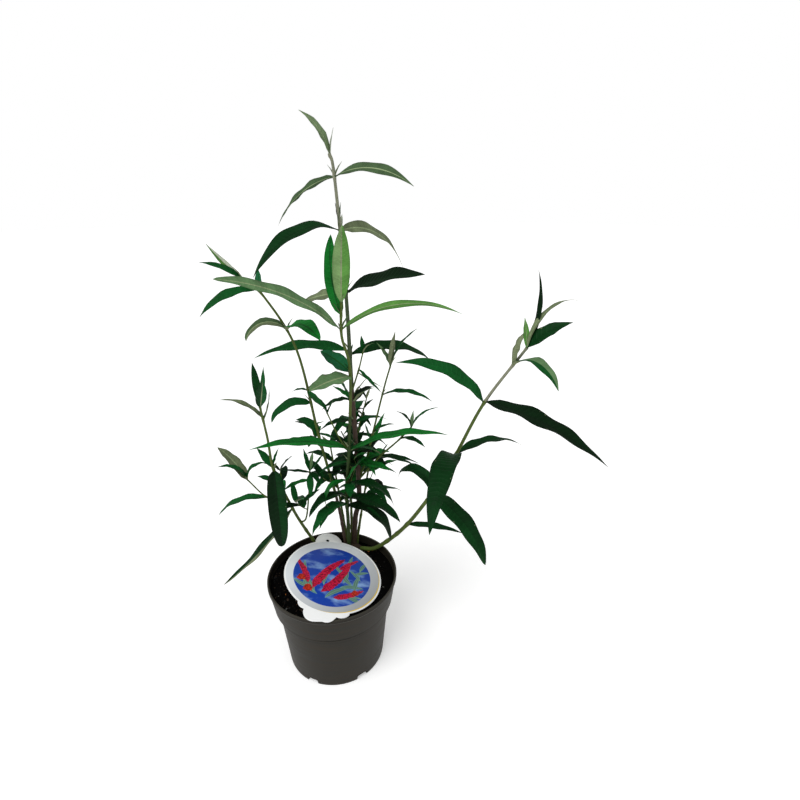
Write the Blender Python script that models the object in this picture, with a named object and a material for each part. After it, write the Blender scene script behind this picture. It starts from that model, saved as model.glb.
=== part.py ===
"""Young butterfly bush in its nursery pot, modelled as faceted solids in metres, +Z up.

The origin is at the centre of the pot's underside. +X runs to the plant's right as seen from
the front, and +Y runs to the back. Each leader of the bush is two solids: a bare limb, and above
it one mass of foliage, in which twigs and leaves are fused to a stem that carries the limb on.
"""

import math
import random
from typing import NamedTuple

import bmesh
import bpy
import numpy as np
from mathutils import Matrix, Vector
from mathutils.bvhtree import BVHTree

MM = 0.001
GAP = 0.0003

# Pot
RIM_RADIUS = 0.085
POT_HEIGHT = 0.132
BASE_RADIUS = 0.065
STEP_HEIGHT = 0.0885
STEP_RISE = 0.005
STEP_RADIUS = 0.0735
COLLAR_RADIUS = 0.078
WALL = 0.0016
FLOOR = 0.003
LIP = 0.0024
LIP_DEPTH = 0.0048
BEVEL = 0.0015
POT_SIDES = 56
NOTCHES = 6
NOTCH_WIDTH = 0.015
NOTCH_HEIGHT = 0.007
NOTCH_HEADING = -53

# Compost
COMPOST_TOP = 0.1225

# Picture label
LABEL_RADIUS = 0.0633
LABEL_CENTRE = (0.0029, -0.0135, 0.1378)
LABEL_LEAN_BACK = 2.3
LABEL_LEAN_SIDE = 13.2
LABEL_THICKNESS = 0.0008
TAB = (103, 0.0610, 0.0178)
TAB_HOLE = (104, 0.0640)
TAB_HOLE_RADIUS = 0.0024
HOLE_SIDES = 16
LABEL_SIDES = 120
LOBES = ((-118, 0.0590, 0.0080), (-104, 0.0668, 0.0122), (-91, 0.0640, 0.0115), (-74, 0.0590, 0.0092))
FILLET = 0.009

# Woody crown at the foot of the stems
CROWN_CENTRE = (0.020, 0.0585)
CROWN_RADII = (0.015, 0.010)
CROWN_HEIGHT = 0.009
CROWN_SIDES = 20
CROWN_RINGS = 5
CROWN_KNOBS = 0.08
CROWN_LOBES = 3
CROWN_TWIST = 4
CROWN_ROUNDING = 0.6

# Leaves and stems
LEAF_THICKNESS = 0.011
LEAST_THICKNESS = 0.0012
PETIOLE = 0.0011
LEAF_FOLD = 16
LEAF_STATIONS = (0.0, 0.08, 0.21, 0.4, 0.62, 0.83)
TIP_THICKNESS = 0.7
WIDEST_SKEW = 0.74
FULLNESS = 0.6
TIP_DRAW = 0.45
BLUNT_SHARE = 0.45
CLEARANCE = 0.0005
STEM_SPACING = 0.014
JOINT_STRAIGHT = 0.002
LIMB_SIDES = 8
STEM_SIDES = 6
SPRIG_SIDES = 5
SPRIG_RADII = (1.2, 0.8)
SPRIG_STEPS = 4
QUARTER_TURN = 90

# Pairs of leaves grown by rule
PAIR_TURN = 12
PAIR_TAPER = 0.4
PAIR_LENGTHS = (0.9, 1.1)
PAIR_SLENDERNESS = 0.23
PAIR_RISES = (25, 50)
PAIR_DROOPS = (45, 85)
TIP_PAIR_RISE = 32
TIP_PAIR_DROOP = 0.25

# Meshing
WELD = 0.000002
SHARP_ANGLE = 40


class Leaf(NamedTuple):
    """One leaf: its node's height, its sizes in millimetres and its angles in degrees."""

    node: float
    heading: float
    length: float
    width: float
    rise: float
    droop: float
    roll: float = 0
    blunt: float = 0


class Pairs(NamedTuple):
    """Leaves by rule: so many pairs, each a quarter turn on from the last, the biggest so long."""

    count: int
    length: float
    heading: float
    seed: int


class Shoot(NamedTuple):
    """One stem: the knots of its axis, its foot and tip radii, and the top of its bare limb."""

    mass: str
    knots: tuple
    radii: tuple
    limb_top: float
    leaves: tuple
    pairs: Pairs = None


class Sprig(NamedTuple):
    """A short side shoot of a mass's first stem, with its leaves in pairs."""

    mass: str
    node: float
    heading: float
    length: float
    rise: float
    pairs: Pairs


SHOOTS = (
    Shoot(
        "tall",
        (
            (22, 59, 118), (24, 61, 137), (27, 60, 175), (34, 58, 222), (30, 58, 355),
            (28, 52, 492), (22, 44, 614), (18, 42, 636),
        ),
        (3.8, 1.5),
        235,
        (
            Leaf(634, 213, 52, 10, 80, 57, -60),
            Leaf(634, 20, 26, 6, 84, 10),
            Leaf(614, -40, 110, 15, 20, 50, 35),
            Leaf(614, 145, 108, 15, -7, 45, -45),
            Leaf(565, 170, 24, 6, 80, 0),
            Leaf(565, -10, 24, 6, 85, 0),
            Leaf(560, 235, 138, 18, 20, 70, -20),
            Leaf(560, 55, 140, 19, 10, 68, 45, 0.4),
            Leaf(496, 60, 32, 8, 72, 0),
            Leaf(492, -35, 112, 28, 28, 25, 30, 0.3),
            Leaf(492, 130, 110, 18, -10, 10, -40),
            Leaf(420, 186, 118, 20, 20, 45, -22),
            Leaf(415, 35, 140, 18, 15, 60, 25),
            Leaf(350, -30, 45, 11, 60, 40),
            Leaf(350, 44, 41, 14, 55, 69, 0, 0.4),
            Leaf(355, 150, 35, 9, 35, 25),
            Leaf(355, 204, 43, 13, 24, 66, 0, 0.4),
            Leaf(341, 60, 30, 7, -20, 40),
            Leaf(324, 205, 48, 13, 30, 65),
            Leaf(322, 25, 50, 13, 25, 60),
            Leaf(276, -40, 40, 12, 0, 60),
            Leaf(290, 110, 50, 13, 35, 50),
            Leaf(258, 185, 54, 14, 30, 70),
            Leaf(258, 30, 60, 15, 30, 70),
        ),
    ),
    Shoot("tall", ((31, 55, 371), (40, 50, 399), (46, 47, 422)), (1.1, 0.8), 0, (
        Leaf(422, 110, 20, 6, 80, 20),
        Leaf(422, -20, 20, 6, 70, 60),
        Leaf(399, -20, 40, 9, -45, -5),
        Leaf(395, 30, 45, 9, -45, -15),
    )),
    Shoot("tall", (
        (34, 58, 238), (47, 60, 275), (54, 64, 304), (70, 69, 368), (78, 70, 396),
    ), (1.6, 1.0), 0, (
        Leaf(396, 160, 35, 9, 75, 35),
        Leaf(396, -60, 50, 9, 80, 10),
        Leaf(396, 15, 60, 11, 75, 45),
        Leaf(358, -20, 70, 12, 30, 60),
        Leaf(304, -5, 35, 10, 55, 55),
        Leaf(296, 155, 25, 6, 55, -30),
    )),
    Shoot("tall", (
        (34, 58, 239), (54, 52, 266), (66, 48, 282), (87, 42, 305), (104, 36, 327),
    ), (1.6, 0.9), 0, (
        Leaf(327, 170, 30, 7, 85, 75),
        Leaf(327, 60, 22, 5, 80, 10),
        Leaf(327, 5, 45, 8, 70, 65),
        Leaf(309, -35, 40, 10, 30, 65),
        Leaf(282, -5, 50, 8, 0, 25),
        Leaf(281, -35, 55, 8, 10, 15),
        Leaf(266, -20, 25, 8, 20, 70),
    )),
    Shoot(
        "front",
        (
            (17, 56, 118), (17, 54, 137), (18, 49, 175), (19, 40, 227), (26, 28, 301),
            (33, 14, 408), (26, 7, 453), (28, 2, 491),
        ),
        (2.6, 1.4),
        200,
        (
            Leaf(477, 165, 84, 16, 70, -30, -60, 0.6),
            Leaf(491, -80, 105, 18, 65, 25, 0, 0.3),
            Leaf(460, 220, 152, 19, 45, 35, -35, 0.8),
            Leaf(460, 0, 140, 12, 40, 65, 25),
            Leaf(408, 150, 46, 18, 35, 20, -20),
            Leaf(403, 230, 62, 23, 10, 20, -10),
            Leaf(301, 210, 128, 18, 32, 35, -15),
            Leaf(298, -5, 130, 18, 35, 45),
            Leaf(301, 40, 65, 13, -5, 50),
            Leaf(282, 195, 40, 8, 0, 35),
            Leaf(267, 170, 25, 9, -15, 25),
            Leaf(251, 205, 65, 12, 20, 160),
            Leaf(238, -15, 80, 20, 45, 120),
            Leaf(247, -20, 56, 18, 71, 30, 0, 0.4),
            Leaf(221, -22, 85, 24, 22, 72, 0, 0.3),
            Leaf(210, 227, 72, 20, 33, 101),
            Leaf(221, 219, 70, 18, 53, 119, 0, 0.3),
            Leaf(205, -20, 55, 12, 20, 60),
            Leaf(208, -15, 91, 20, 17, 112, 0, 0.3),
        ),
    ),
    Shoot("front", ((26, 28, 300), (16, 26, 315), (3, 18, 355)), (1.0, 0.8), 0, (
        Leaf(355, 170, 25, 7, 75, 35),
        Leaf(355, 20, 20, 6, 65, 10),
    )),
    Shoot(
        "left",
        (
            (13, 58, 118), (11, 58, 137), (4, 52, 209), (-13, 42, 312), (-30, 34, 427),
            (-58, 20, 493), (-77, 12, 514),
        ),
        (2.2, 1.2),
        225,
        (
            Leaf(514, 178, 50, 7, 40, -13, -40),
            Leaf(514, 194, 46, 8, 44, 39),
            Leaf(502, 220, 72, 12, 13, 60, -30),
            Leaf(500, 20, 25, 9, 85, -5, 40),
            Leaf(454, 198, 59, 13, 54, 131, -25, 0.8),
            Leaf(454, -45, 68, 22, 40, 80, 15),
            Leaf(376, 190, 20, 6, 30, 60),
            Leaf(376, -65, 65, 8, 0, -5),
            Leaf(359, 195, 60, 15, 25, 95, -20),
            Leaf(316, -20, 25, 6, 5, 30),
            Leaf(312, 154, 43, 15, 74, 98, 0, 0.4),
        ),
    ),
    Shoot(
        "right",
        (
            (28, 57, 118), (34, 56, 125), (57, 47, 134), (98, 27, 186), (137, 5, 263),
            (156, -8, 313), (181, -30, 388), (216, -52, 457),
        ),
        (2.9, 1.4),
        180,
        (
            Leaf(457, 36, 79, 6, 54, -63),
            Leaf(457, 26, 82, 7, 84, 98),
            Leaf(457, -15, 50, 15, 55, 40, 40),
            Leaf(457, 100, 30, 7, 72, 10),
            Leaf(436, -62, 75, 17, 46, 101, 0, 0.3),
            Leaf(436, 162, 38, 13, 83, -43, 30, 0.3),
            Leaf(388, 180, 112, 18, 60, 68, -30),
            Leaf(390, -40, 142, 25, 5, 35, 10),
            Leaf(313, 20, 95, 17, 30, 65),
            Leaf(311, -107, 145, 27, 40, 100, 0, 0.3),
            Leaf(249, 145, 76, 15, 88, 165, -20, 0.6),
            Leaf(246, -43, 112, 24, -3, 65, 15, 0.6),
            Leaf(188, -25, 80, 11, 20, 25, 10),
        ),
    ),
    Shoot(
        "side",
        (
            (-14, 55, 118), (-28, 50, 137), (-43, 38, 179), (-53, 24, 221), (-63, 0, 287),
            (-63, -12, 337), (-65, -20, 380),
        ),
        (2.3, 1.2),
        200,
        (
            Leaf(380, 110, 65, 9, 50, 35),
            Leaf(380, 60, 45, 9, 65, -20),
            Leaf(379, -65, 60, 12, 45, -10),
            Leaf(365, 175, 55, 10, 55, 65),
            Leaf(362, 20, 40, 7, 60, -30),
            Leaf(291, 140, 35, 11, 35, 10),
            Leaf(293, 30, 25, 6, 75, 15),
            Leaf(287, -75, 105, 22, -25, 90, 0, 0.8),
            Leaf(214, 205, 135, 19, -55, -25, 0, 0.4),
        ),
    ),
    Shoot("side", ((-56, 18, 236), (-77, 8, 243), (-96, -2, 275)), (1.0, 0.8), 0, (
        Leaf(275, 20, 36, 11, 95, 115, 0, 0.4),
        Leaf(275, 192, 43, 12, 79, 90, 0, 0.4),
        Leaf(275, 150, 57, 16, 53, 35, 0, 0.5),
        Leaf(243, 180, 75, 13, 10, 65, 0, 0.6),
    )),
    Shoot("side", (
        (-44, 37, 184), (-35, 30, 198), (-27, 25, 247), (-24, 22, 274),
    ), (1.2, 0.8), 0, (
        Leaf(274, 150, 30, 8, 70, -10),
        Leaf(274, 60, 25, 7, 65, -10),
        Leaf(271, 190, 35, 8, 15, 10),
        Leaf(274, 20, 30, 8, 40, -15),
        Leaf(268, -80, 30, 9, -20, 50),
        Leaf(271, -45, 25, 8, 10, 75),
    )),
    Shoot("rear_left", (
        (14, 63, 118), (12, 67, 140), (2, 84, 205), (-8, 102, 262),
    ), (2.0, 1.1), 170, (), Pairs(4, 70, 60, 3)),
    Shoot("rear", (
        (20, 66, 118), (20, 69, 140), (20, 88, 215), (23, 116, 330),
    ), (2.0, 1.1), 180, (), Pairs(5, 85, 80, 5)),
    Shoot("rear_right", (
        (27, 64, 118), (29, 68, 140), (40, 88, 205), (52, 112, 270),
    ), (2.0, 1.1), 170, (), Pairs(4, 70, 40, 8)),
)

SPRIGS = (
    Sprig("tall", 262, 150, 50, 60, Pairs(3, 28, 30, 11)),
    Sprig("tall", 300, 64, 55, 55, Pairs(3, 30, 50, 12)),
)


def smooth_path(knots):
    """Points about one spacing apart on a smooth curve through the knots, in metres."""
    points = [Vector(knot) * MM for knot in knots]
    points = [points[0] * 2 - points[1], *points, points[-1] * 2 - points[-2]]
    path = []
    for before, start, end, after in zip(points, points[1:], points[2:], points[3:]):
        steps = max(1, round((end - start).length / STEM_SPACING))
        for step in range(steps):
            t = step / steps
            square = 2 * before - 5 * start + 4 * end - after
            cube = 3 * start - before - 3 * end + after
            path.append((2 * start + (end - before) * t + square * t**2 + cube * t**3) / 2)
    path.append(points[-2])
    return path


def direction(heading, rise):
    """The unit vector at a heading from +X and an angle above level, both in degrees."""
    turn, tilt = math.radians(heading), math.radians(rise)
    return Vector((math.cos(tilt) * math.cos(turn), math.cos(tilt) * math.sin(turn), math.sin(tilt)))


def arching_path(root, heading, length, rise, droop, stations):
    """Points at fractions of a path that leaves its root at an angle and bends evenly down."""
    points = [root.copy()]
    for start, end in zip(stations, stations[1:]):
        middle = (start + end) / 2
        points.append(points[-1] + direction(heading, rise - droop * middle) * length * (end - start))
    return points


def at_height(path, height):
    """The point where a rising path passes a height."""
    for low, high in zip(path, path[1:]):
        if low.z <= height <= high.z:
            return low.lerp(high, (height - low.z) / (high.z - low.z))
    return path[-1].copy()


def split_path(path, height):
    """A path's part below a height and its part above, with parallel ends one gap apart."""
    cut = at_height(path, height)
    below = [point for point in path if point.z < height and (point - cut).length > 2 * JOINT_STRAIGHT]
    above = [point for point in path if point.z > height and (point - cut).length > 2 * JOINT_STRAIGHT]
    ahead = (above[0] - below[-1]).normalized()
    below += [cut - ahead * JOINT_STRAIGHT, cut]
    above = [cut + ahead * GAP, cut + ahead * (GAP + JOINT_STRAIGHT), *above]
    return below, above


def blade_width(fraction, blunt):
    """The half width of a lance-shaped blade at a fraction of its length, its widest being 1."""
    power = FULLNESS * (1 - BLUNT_SHARE * blunt) + TIP_DRAW * (1 - blunt) * fraction
    return math.sin(math.pi * fraction**WIDEST_SKEW) ** power


def blade(root, leaf, grow=0.0):
    """Vertices and faces of one leaf: two thin wedges that meet in a fold along the midrib."""
    length = leaf.length * MM
    path = arching_path(root, leaf.heading, length, leaf.rise, leaf.droop, (*LEAF_STATIONS, 1.0))
    level = direction(leaf.heading + QUARTER_TURN, 0)
    roll = math.radians(leaf.roll)
    thickness = max(LEAST_THICKNESS, LEAF_THICKNESS * length)
    vertices = []
    for point, fraction in zip(path, LEAF_STATIONS):
        above = direction(leaf.heading, leaf.rise - leaf.droop * fraction + QUARTER_TURN)
        up = above * math.cos(roll) - level * math.sin(roll)
        side = level * math.cos(roll) + above * math.sin(roll)
        spread = leaf.width * MM / 2 * blade_width(fraction, leaf.blunt)
        depth = thickness / 2 * (1 - (1 - TIP_THICKNESS) * fraction) + grow
        edge = side * (PETIOLE + spread + grow)
        lift = up * spread * math.tan(math.radians(LEAF_FOLD))
        vertices += [point + edge + lift, point - up * depth, point - edge + lift, point + up * depth]
    vertices.append(path[-1] + (path[-1] - path[-2]).normalized() * grow)
    tip = len(vertices) - 1
    faces = [(3, 2, 1, 0)] + ring_faces(len(LEAF_STATIONS), 4)
    faces += [(tip - 4 + corner, tip - 4 + (corner + 1) % 4, tip) for corner in range(4)]
    return vertices, faces


def ring_faces(rings, sides):
    """The faces between rings of vertices that follow one another."""
    faces = []
    for ring in range(rings - 1):
        for corner in range(sides):
            low = ring * sides + corner
            beside = ring * sides + (corner + 1) % sides
            faces.append((low, beside, beside + sides, low + sides))
    return faces


def tube(path, radii, sides, grow=0.0):
    """Vertices and faces of a tapering round stem along a path, with flat ends."""
    vertices = []
    across = (path[1] - path[0]).orthogonal()
    for index, point in enumerate(path):
        ahead = (path[min(index + 1, len(path) - 1)] - path[max(index - 1, 0)]).normalized()
        across = (across - ahead * across.dot(ahead)).normalized()
        other = ahead.cross(across)
        radius = (radii[0] + (radii[1] - radii[0]) * index / (len(path) - 1)) * MM + grow
        for corner in range(sides):
            turn = math.tau * corner / sides
            vertices.append(point + (across * math.cos(turn) + other * math.sin(turn)) * radius)
    count = len(vertices)
    ends = [tuple(range(sides - 1, -1, -1)), tuple(range(count - sides, count))]
    return vertices, ring_faces(len(path), sides) + ends


def rule_leaves(path, pairs):
    """Leaves in pairs up a path, each pair a quarter turn on, and an upright pair at the tip."""
    chance = random.Random(pairs.seed)
    leaves = []
    for pair in range(pairs.count + 1):
        fraction = (pair + 1) / (pairs.count + 1)
        node = (path[0].z + (path[-1].z - path[0].z) * fraction) / MM
        for side in (0, 180):
            turn = chance.uniform(-PAIR_TURN, PAIR_TURN)
            heading = pairs.heading + pair * QUARTER_TURN + side + turn
            length = pairs.length * (1 - PAIR_TAPER * fraction) * chance.uniform(*PAIR_LENGTHS)
            rise, droop = chance.uniform(*PAIR_RISES), chance.uniform(*PAIR_DROOPS)
            if pair == pairs.count:
                rise, droop = rise + TIP_PAIR_RISE, droop * TIP_PAIR_DROOP
            leaves.append(Leaf(node, heading, length, length * PAIR_SLENDERNESS, rise, droop))
    return leaves


class Space:
    """What already stands in the air, so that a new twig or leaf keeps clear of other pieces."""

    def __init__(self):
        self.pieces = []

    def add(self, owner, shape):
        points = np.array(shape[0])
        self.pieces.append((owner, points.min(0), points.max(0), BVHTree.FromPolygons(*shape)))

    def is_free(self, owner, shape):
        points = np.array(shape[0])
        low, high = points.min(0), points.max(0)
        tree = BVHTree.FromPolygons(*shape)
        for other, other_low, other_high, other_tree in self.pieces:
            apart = other == owner or (low > other_high).any() or (high < other_low).any()
            if not apart and tree.overlap(other_tree):
                return False
        return True


def grow_stems(space):
    """The bare limbs by name, and each mass's stems, with the shoot that each belongs to."""
    limbs, stems = {}, []
    for shoot in SHOOTS:
        path = smooth_path(shoot.knots)
        radii = shoot.radii
        if shoot.limb_top:
            share = (shoot.limb_top * MM - path[0].z) / (path[-1].z - path[0].z)
            middle = radii[0] + (radii[1] - radii[0]) * share
            below, path = split_path(path, shoot.limb_top * MM)
            limbs["limb_" + shoot.mass] = tube(below, (radii[0], middle), LIMB_SIDES)
            radii = (middle, radii[1])
        stems.append((shoot, path, radii))
        space.add(shoot.mass, tube(path, radii, STEM_SIDES))
    for name, shape in limbs.items():
        space.add(name, shape)
    return limbs, stems


def grow_leaves(stems, space):
    """Each mass's sprig stems and leaves, as far as each finds its space free."""
    sprigs, leaves = [], []
    for sprig in SPRIGS:
        parent = next(path for shoot, path, radii in stems if shoot.mass == sprig.mass)
        root = at_height(parent, sprig.node * MM)
        stations = [step / SPRIG_STEPS for step in range(SPRIG_STEPS + 1)]
        path = arching_path(root, sprig.heading, sprig.length * MM, sprig.rise, 0, stations)
        if space.is_free(sprig.mass, tube(path, SPRIG_RADII, SPRIG_SIDES, grow=CLEARANCE)):
            space.add(sprig.mass, tube(path, SPRIG_RADII, SPRIG_SIDES))
            sprigs.append((sprig, path, SPRIG_RADII))
    for branch, path, radii in [*stems, *sprigs]:
        own = list(getattr(branch, "leaves", ()))
        if branch.pairs:
            own += rule_leaves(path, branch.pairs)
        for leaf in own:
            root = at_height(path, leaf.node * MM)
            if space.is_free(branch.mass, blade(root, leaf, grow=CLEARANCE)):
                space.add(branch.mass, blade(root, leaf))
                leaves.append((branch.mass, root, leaf))
    return sprigs, leaves


def material(name, colour, roughness, metallic=0.0):
    """A plain material of one finish."""
    finish = bpy.data.materials.new(name)
    finish.use_nodes = True
    shader = finish.node_tree.nodes["Principled BSDF"]
    shader.inputs["Base Color"].default_value = (*colour, 1.0)
    shader.inputs["Roughness"].default_value = roughness
    shader.inputs["Metallic"].default_value = metallic
    return finish


def mesh_object(name, shape, finish=None):
    """A new object of one closed mesh, with its faces turned outwards."""
    vertices, faces = shape
    mesh = bpy.data.meshes.new(name)
    mesh.from_pydata([tuple(vertex) for vertex in vertices], [], faces)
    shell = bmesh.new()
    shell.from_mesh(mesh)
    bmesh.ops.recalc_face_normals(shell, faces=shell.faces)
    shell.to_mesh(mesh)
    shell.free()
    if finish:
        mesh.materials.append(finish)
    piece = bpy.data.objects.new(name, mesh)
    bpy.context.scene.collection.objects.link(piece)
    return piece


def smooth_shade(piece):
    """Shades a round piece smooth, with its edges kept sharp."""
    piece.data.shade_smooth()
    piece.data.set_sharp_from_angle(angle=math.radians(SHARP_ANGLE))


def cutter(name, shape):
    """A solid that only cuts others."""
    piece = mesh_object(name, shape)
    piece.hide_render = True
    piece.display_type = "WIRE"
    return piece


def cut(piece, tool):
    """Takes the tool's space out of a piece."""
    modifier = piece.modifiers.new("cut_" + tool.name, "BOOLEAN")
    modifier.operation = "DIFFERENCE"
    modifier.object = tool


def keep_main_body(mesh):
    """Drops the loose scraps of a fused mesh and the walls of any hollow sealed inside it."""
    shell = bmesh.new()
    shell.from_mesh(mesh)
    bmesh.ops.remove_doubles(shell, verts=shell.verts, dist=WELD)
    bmesh.ops.dissolve_degenerate(shell, edges=shell.edges, dist=WELD)
    left = set(shell.faces)
    bodies = []
    while left:
        body, front = set(), [left.pop()]
        while front:
            face = front.pop()
            body.add(face)
            near = {other for edge in face.edges for other in edge.link_faces} & left
            left -= near
            front += near
        bodies.append(body)
    main_body = max(bodies, key=len)
    scraps = [face for face in shell.faces if face not in main_body]
    bmesh.ops.delete(shell, geom=scraps, context="FACES")
    bmesh.ops.triangulate(shell, faces=shell.faces)
    shell.to_mesh(mesh)
    shell.free()


def fuse(name, shapes, finish):
    """One solid of a mass's stem, twigs and leaves."""
    pieces = bpy.data.collections.new("pieces_of_" + name)
    bpy.context.scene.collection.children.link(pieces)
    stem = mesh_object(name, shapes[0], finish)
    for index, shape in enumerate(shapes[1:]):
        piece = mesh_object(f"{name}_piece_{index}", shape)
        bpy.context.scene.collection.objects.unlink(piece)
        pieces.objects.link(piece)
    modifier = stem.modifiers.new("fuse", "BOOLEAN")
    modifier.operation = "UNION"
    modifier.solver = "MANIFOLD"
    modifier.operand_type = "COLLECTION"
    modifier.collection = pieces
    graph = bpy.context.evaluated_depsgraph_get()
    fused = bpy.data.meshes.new_from_object(stem.evaluated_get(graph))
    stem.modifiers.clear()
    stem.data = fused
    for piece in list(pieces.objects):
        bpy.data.objects.remove(piece)
    bpy.data.collections.remove(pieces)
    keep_main_body(fused)
    return stem


def turned(profile, sides):
    """A solid turned round the Z axis from a profile that starts and ends on the axis."""
    vertices = [Vector((0, 0, profile[0][1]))]
    for radius, height in profile[1:-1]:
        for side in range(sides):
            turn = math.tau * side / sides
            vertices.append(Vector((radius * math.cos(turn), radius * math.sin(turn), height)))
    vertices.append(Vector((0, 0, profile[-1][1])))
    top = len(vertices) - 1
    faces = [tuple(corner + 1 for corner in face) for face in ring_faces(len(profile) - 2, sides)]
    for side in range(sides):
        beside = (side + 1) % sides
        faces.append((0, 1 + beside, 1 + side))
        faces.append((top, top - sides + side, top - sides + beside))
    return vertices, faces


def box(low, high):
    """A box between two corners."""
    corners = ((low[0], low[1]), (high[0], low[1]), (high[0], high[1]), (low[0], high[1]))
    vertices = [Vector((x, y, z)) for z in (low[2], high[2]) for x, y in corners]
    return vertices, [(3, 2, 1, 0), (4, 5, 6, 7)] + ring_faces(2, 4)


def inner_profile(gap):
    """The pot's inner wall from rim to floor, drawn in by a gap."""
    return [
        (RIM_RADIUS - LIP - gap, POT_HEIGHT - LIP),
        (COLLAR_RADIUS - WALL - gap, STEP_HEIGHT + STEP_RISE + WALL / 2),
        (STEP_RADIUS - WALL - gap, STEP_HEIGHT + WALL / 2),
        (BASE_RADIUS - WALL - gap, FLOOR + gap),
    ]


def make_pot():
    """The hollow pot: a tapering wall with a step, a rolled lip and notches round its foot."""
    outer = [
        (0, 0),
        (BASE_RADIUS - BEVEL, 0),
        (BASE_RADIUS, BEVEL),
        (STEP_RADIUS, STEP_HEIGHT),
        (COLLAR_RADIUS, STEP_HEIGHT + STEP_RISE),
        (RIM_RADIUS - LIP / 2, POT_HEIGHT - LIP_DEPTH - BEVEL),
        (RIM_RADIUS, POT_HEIGHT - LIP_DEPTH),
        (RIM_RADIUS, POT_HEIGHT - BEVEL / 2),
        (RIM_RADIUS - BEVEL / 2, POT_HEIGHT),
        (RIM_RADIUS - LIP, POT_HEIGHT),
    ]
    plastic = material("grey_plastic", (0.045, 0.043, 0.037), 0.55)
    pot = mesh_object("pot", turned([*outer, *inner_profile(0), (0, FLOOR)], POT_SIDES), plastic)
    for notch in range(NOTCHES):
        turn = Matrix.Rotation(math.radians(NOTCH_HEADING) + math.tau * notch / NOTCHES, 4, "Z")
        corners, faces = box(
            (BASE_RADIUS - 4 * WALL, -NOTCH_WIDTH / 2, -NOTCH_HEIGHT),
            (COLLAR_RADIUS, NOTCH_WIDTH / 2, NOTCH_HEIGHT),
        )
        cut(pot, cutter(f"notch_{notch}", ([turn @ corner for corner in corners], faces)))
    smooth_shade(pot)


def make_compost():
    """The compost that fills the pot to a little below its rim."""
    rim, collar, step, foot = inner_profile(GAP)
    share = (rim[1] - COMPOST_TOP) / (rim[1] - collar[1])
    top_radius = rim[0] + (collar[0] - rim[0]) * share
    profile = [(0, foot[1]), foot, step, collar, (top_radius, COMPOST_TOP), (0, COMPOST_TOP)]
    peat = material("compost", (0.012, 0.010, 0.008), 0.95)
    smooth_shade(mesh_object("compost", turned(profile, POT_SIDES), peat))


def lobed_outline(turn):
    """The label's edge at a turn about its centre: a disc with a tab behind and lobes in front."""
    reach = LABEL_RADIUS
    for heading, distance, radius in (TAB, *LOBES):
        along = distance * math.cos(turn - math.radians(heading))
        inside = radius**2 - distance**2 + along**2
        if inside > 0 and along > 0:
            edge = along + math.sqrt(inside)
            near = max(0.0, FILLET - abs(edge - reach)) / FILLET
            reach = max(reach, edge) + near**2 * FILLET / 4
    return reach


def make_label():
    """The round card that leans on the rim in front, on the compost and on the stems behind."""
    rings = []
    for height in (0, LABEL_THICKNESS):
        for side in range(LABEL_SIDES):
            turn = math.tau * side / LABEL_SIDES
            reach = lobed_outline(turn)
            rings.append(Vector((reach * math.cos(turn), reach * math.sin(turn), height)))
    ends = [tuple(range(LABEL_SIDES - 1, -1, -1)), tuple(range(LABEL_SIDES, 2 * LABEL_SIDES))]
    back = Matrix.Rotation(math.radians(LABEL_LEAN_BACK), 4, "X")
    side = Matrix.Rotation(math.radians(LABEL_LEAN_SIDE), 4, "Y")
    place = Matrix.Translation(LABEL_CENTRE) @ back @ side
    rings = [place @ point for point in rings]
    card = material("card", (0.55, 0.57, 0.6), 0.3)
    label = mesh_object("label", (rings, ring_faces(2, LABEL_SIDES) + ends), card)
    hole_centre = direction(TAB_HOLE[0], 0) * TAB_HOLE[1]
    reach = 2 * LABEL_THICKNESS
    profile = [(0, -reach), (TAB_HOLE_RADIUS, -reach), (TAB_HOLE_RADIUS, reach), (0, reach)]
    corners, faces = turned(profile, HOLE_SIDES)
    corners = [place @ (corner + hole_centre) for corner in corners]
    cut(label, cutter("tab_hole", (corners, faces)))


def crown_shape(grow=0.0):
    """The low knobbly stool of old wood, from its flat cut on the compost to its rounded top."""
    vertices = []
    for ring in range(CROWN_RINGS):
        climb = math.pi / 2 * ring / CROWN_RINGS
        height = COMPOST_TOP + GAP + (CROWN_HEIGHT + grow) * math.sin(climb)
        for side in range(CROWN_SIDES):
            turn = math.tau * side / CROWN_SIDES
            knobs = 1 + CROWN_KNOBS * math.sin(CROWN_LOBES * turn + CROWN_TWIST * climb)
            across = [radius * knobs * math.cos(climb) ** CROWN_ROUNDING + grow for radius in CROWN_RADII]
            x = CROWN_CENTRE[0] + across[0] * math.cos(turn)
            y = CROWN_CENTRE[1] + across[1] * math.sin(turn)
            vertices.append(Vector((x, y, height)))
    vertices.append(Vector((*CROWN_CENTRE, COMPOST_TOP + GAP + CROWN_HEIGHT + grow)))
    top = len(vertices) - 1
    faces = [tuple(range(CROWN_SIDES - 1, -1, -1))] + ring_faces(CROWN_RINGS, CROWN_SIDES)
    for side in range(CROWN_SIDES):
        low = top - CROWN_SIDES
        faces.append((low + side, low + (side + 1) % CROWN_SIDES, top))
    return vertices, faces


def make_crown_and_limbs(limbs):
    """The woody crown, and the bare limbs cut to stand off it and off the compost by one gap."""
    bark = material("bark", (0.09, 0.06, 0.035), 0.8)
    green = material("green_stem", (0.10, 0.13, 0.04), 0.6)
    smooth_shade(mesh_object("crown", crown_shape(), bark))
    crown_cutter = cutter("crown_cutter", crown_shape(GAP))
    reach = 2 * RIM_RADIUS
    ground = cutter("ground", box((-reach, -reach, 0), (reach, reach, COMPOST_TOP + GAP)))
    for name, shape in limbs.items():
        limb = mesh_object(name, shape, bark if name == "limb_tall" else green)
        cut(limb, crown_cutter)
        cut(limb, ground)
        smooth_shade(limb)


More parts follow.
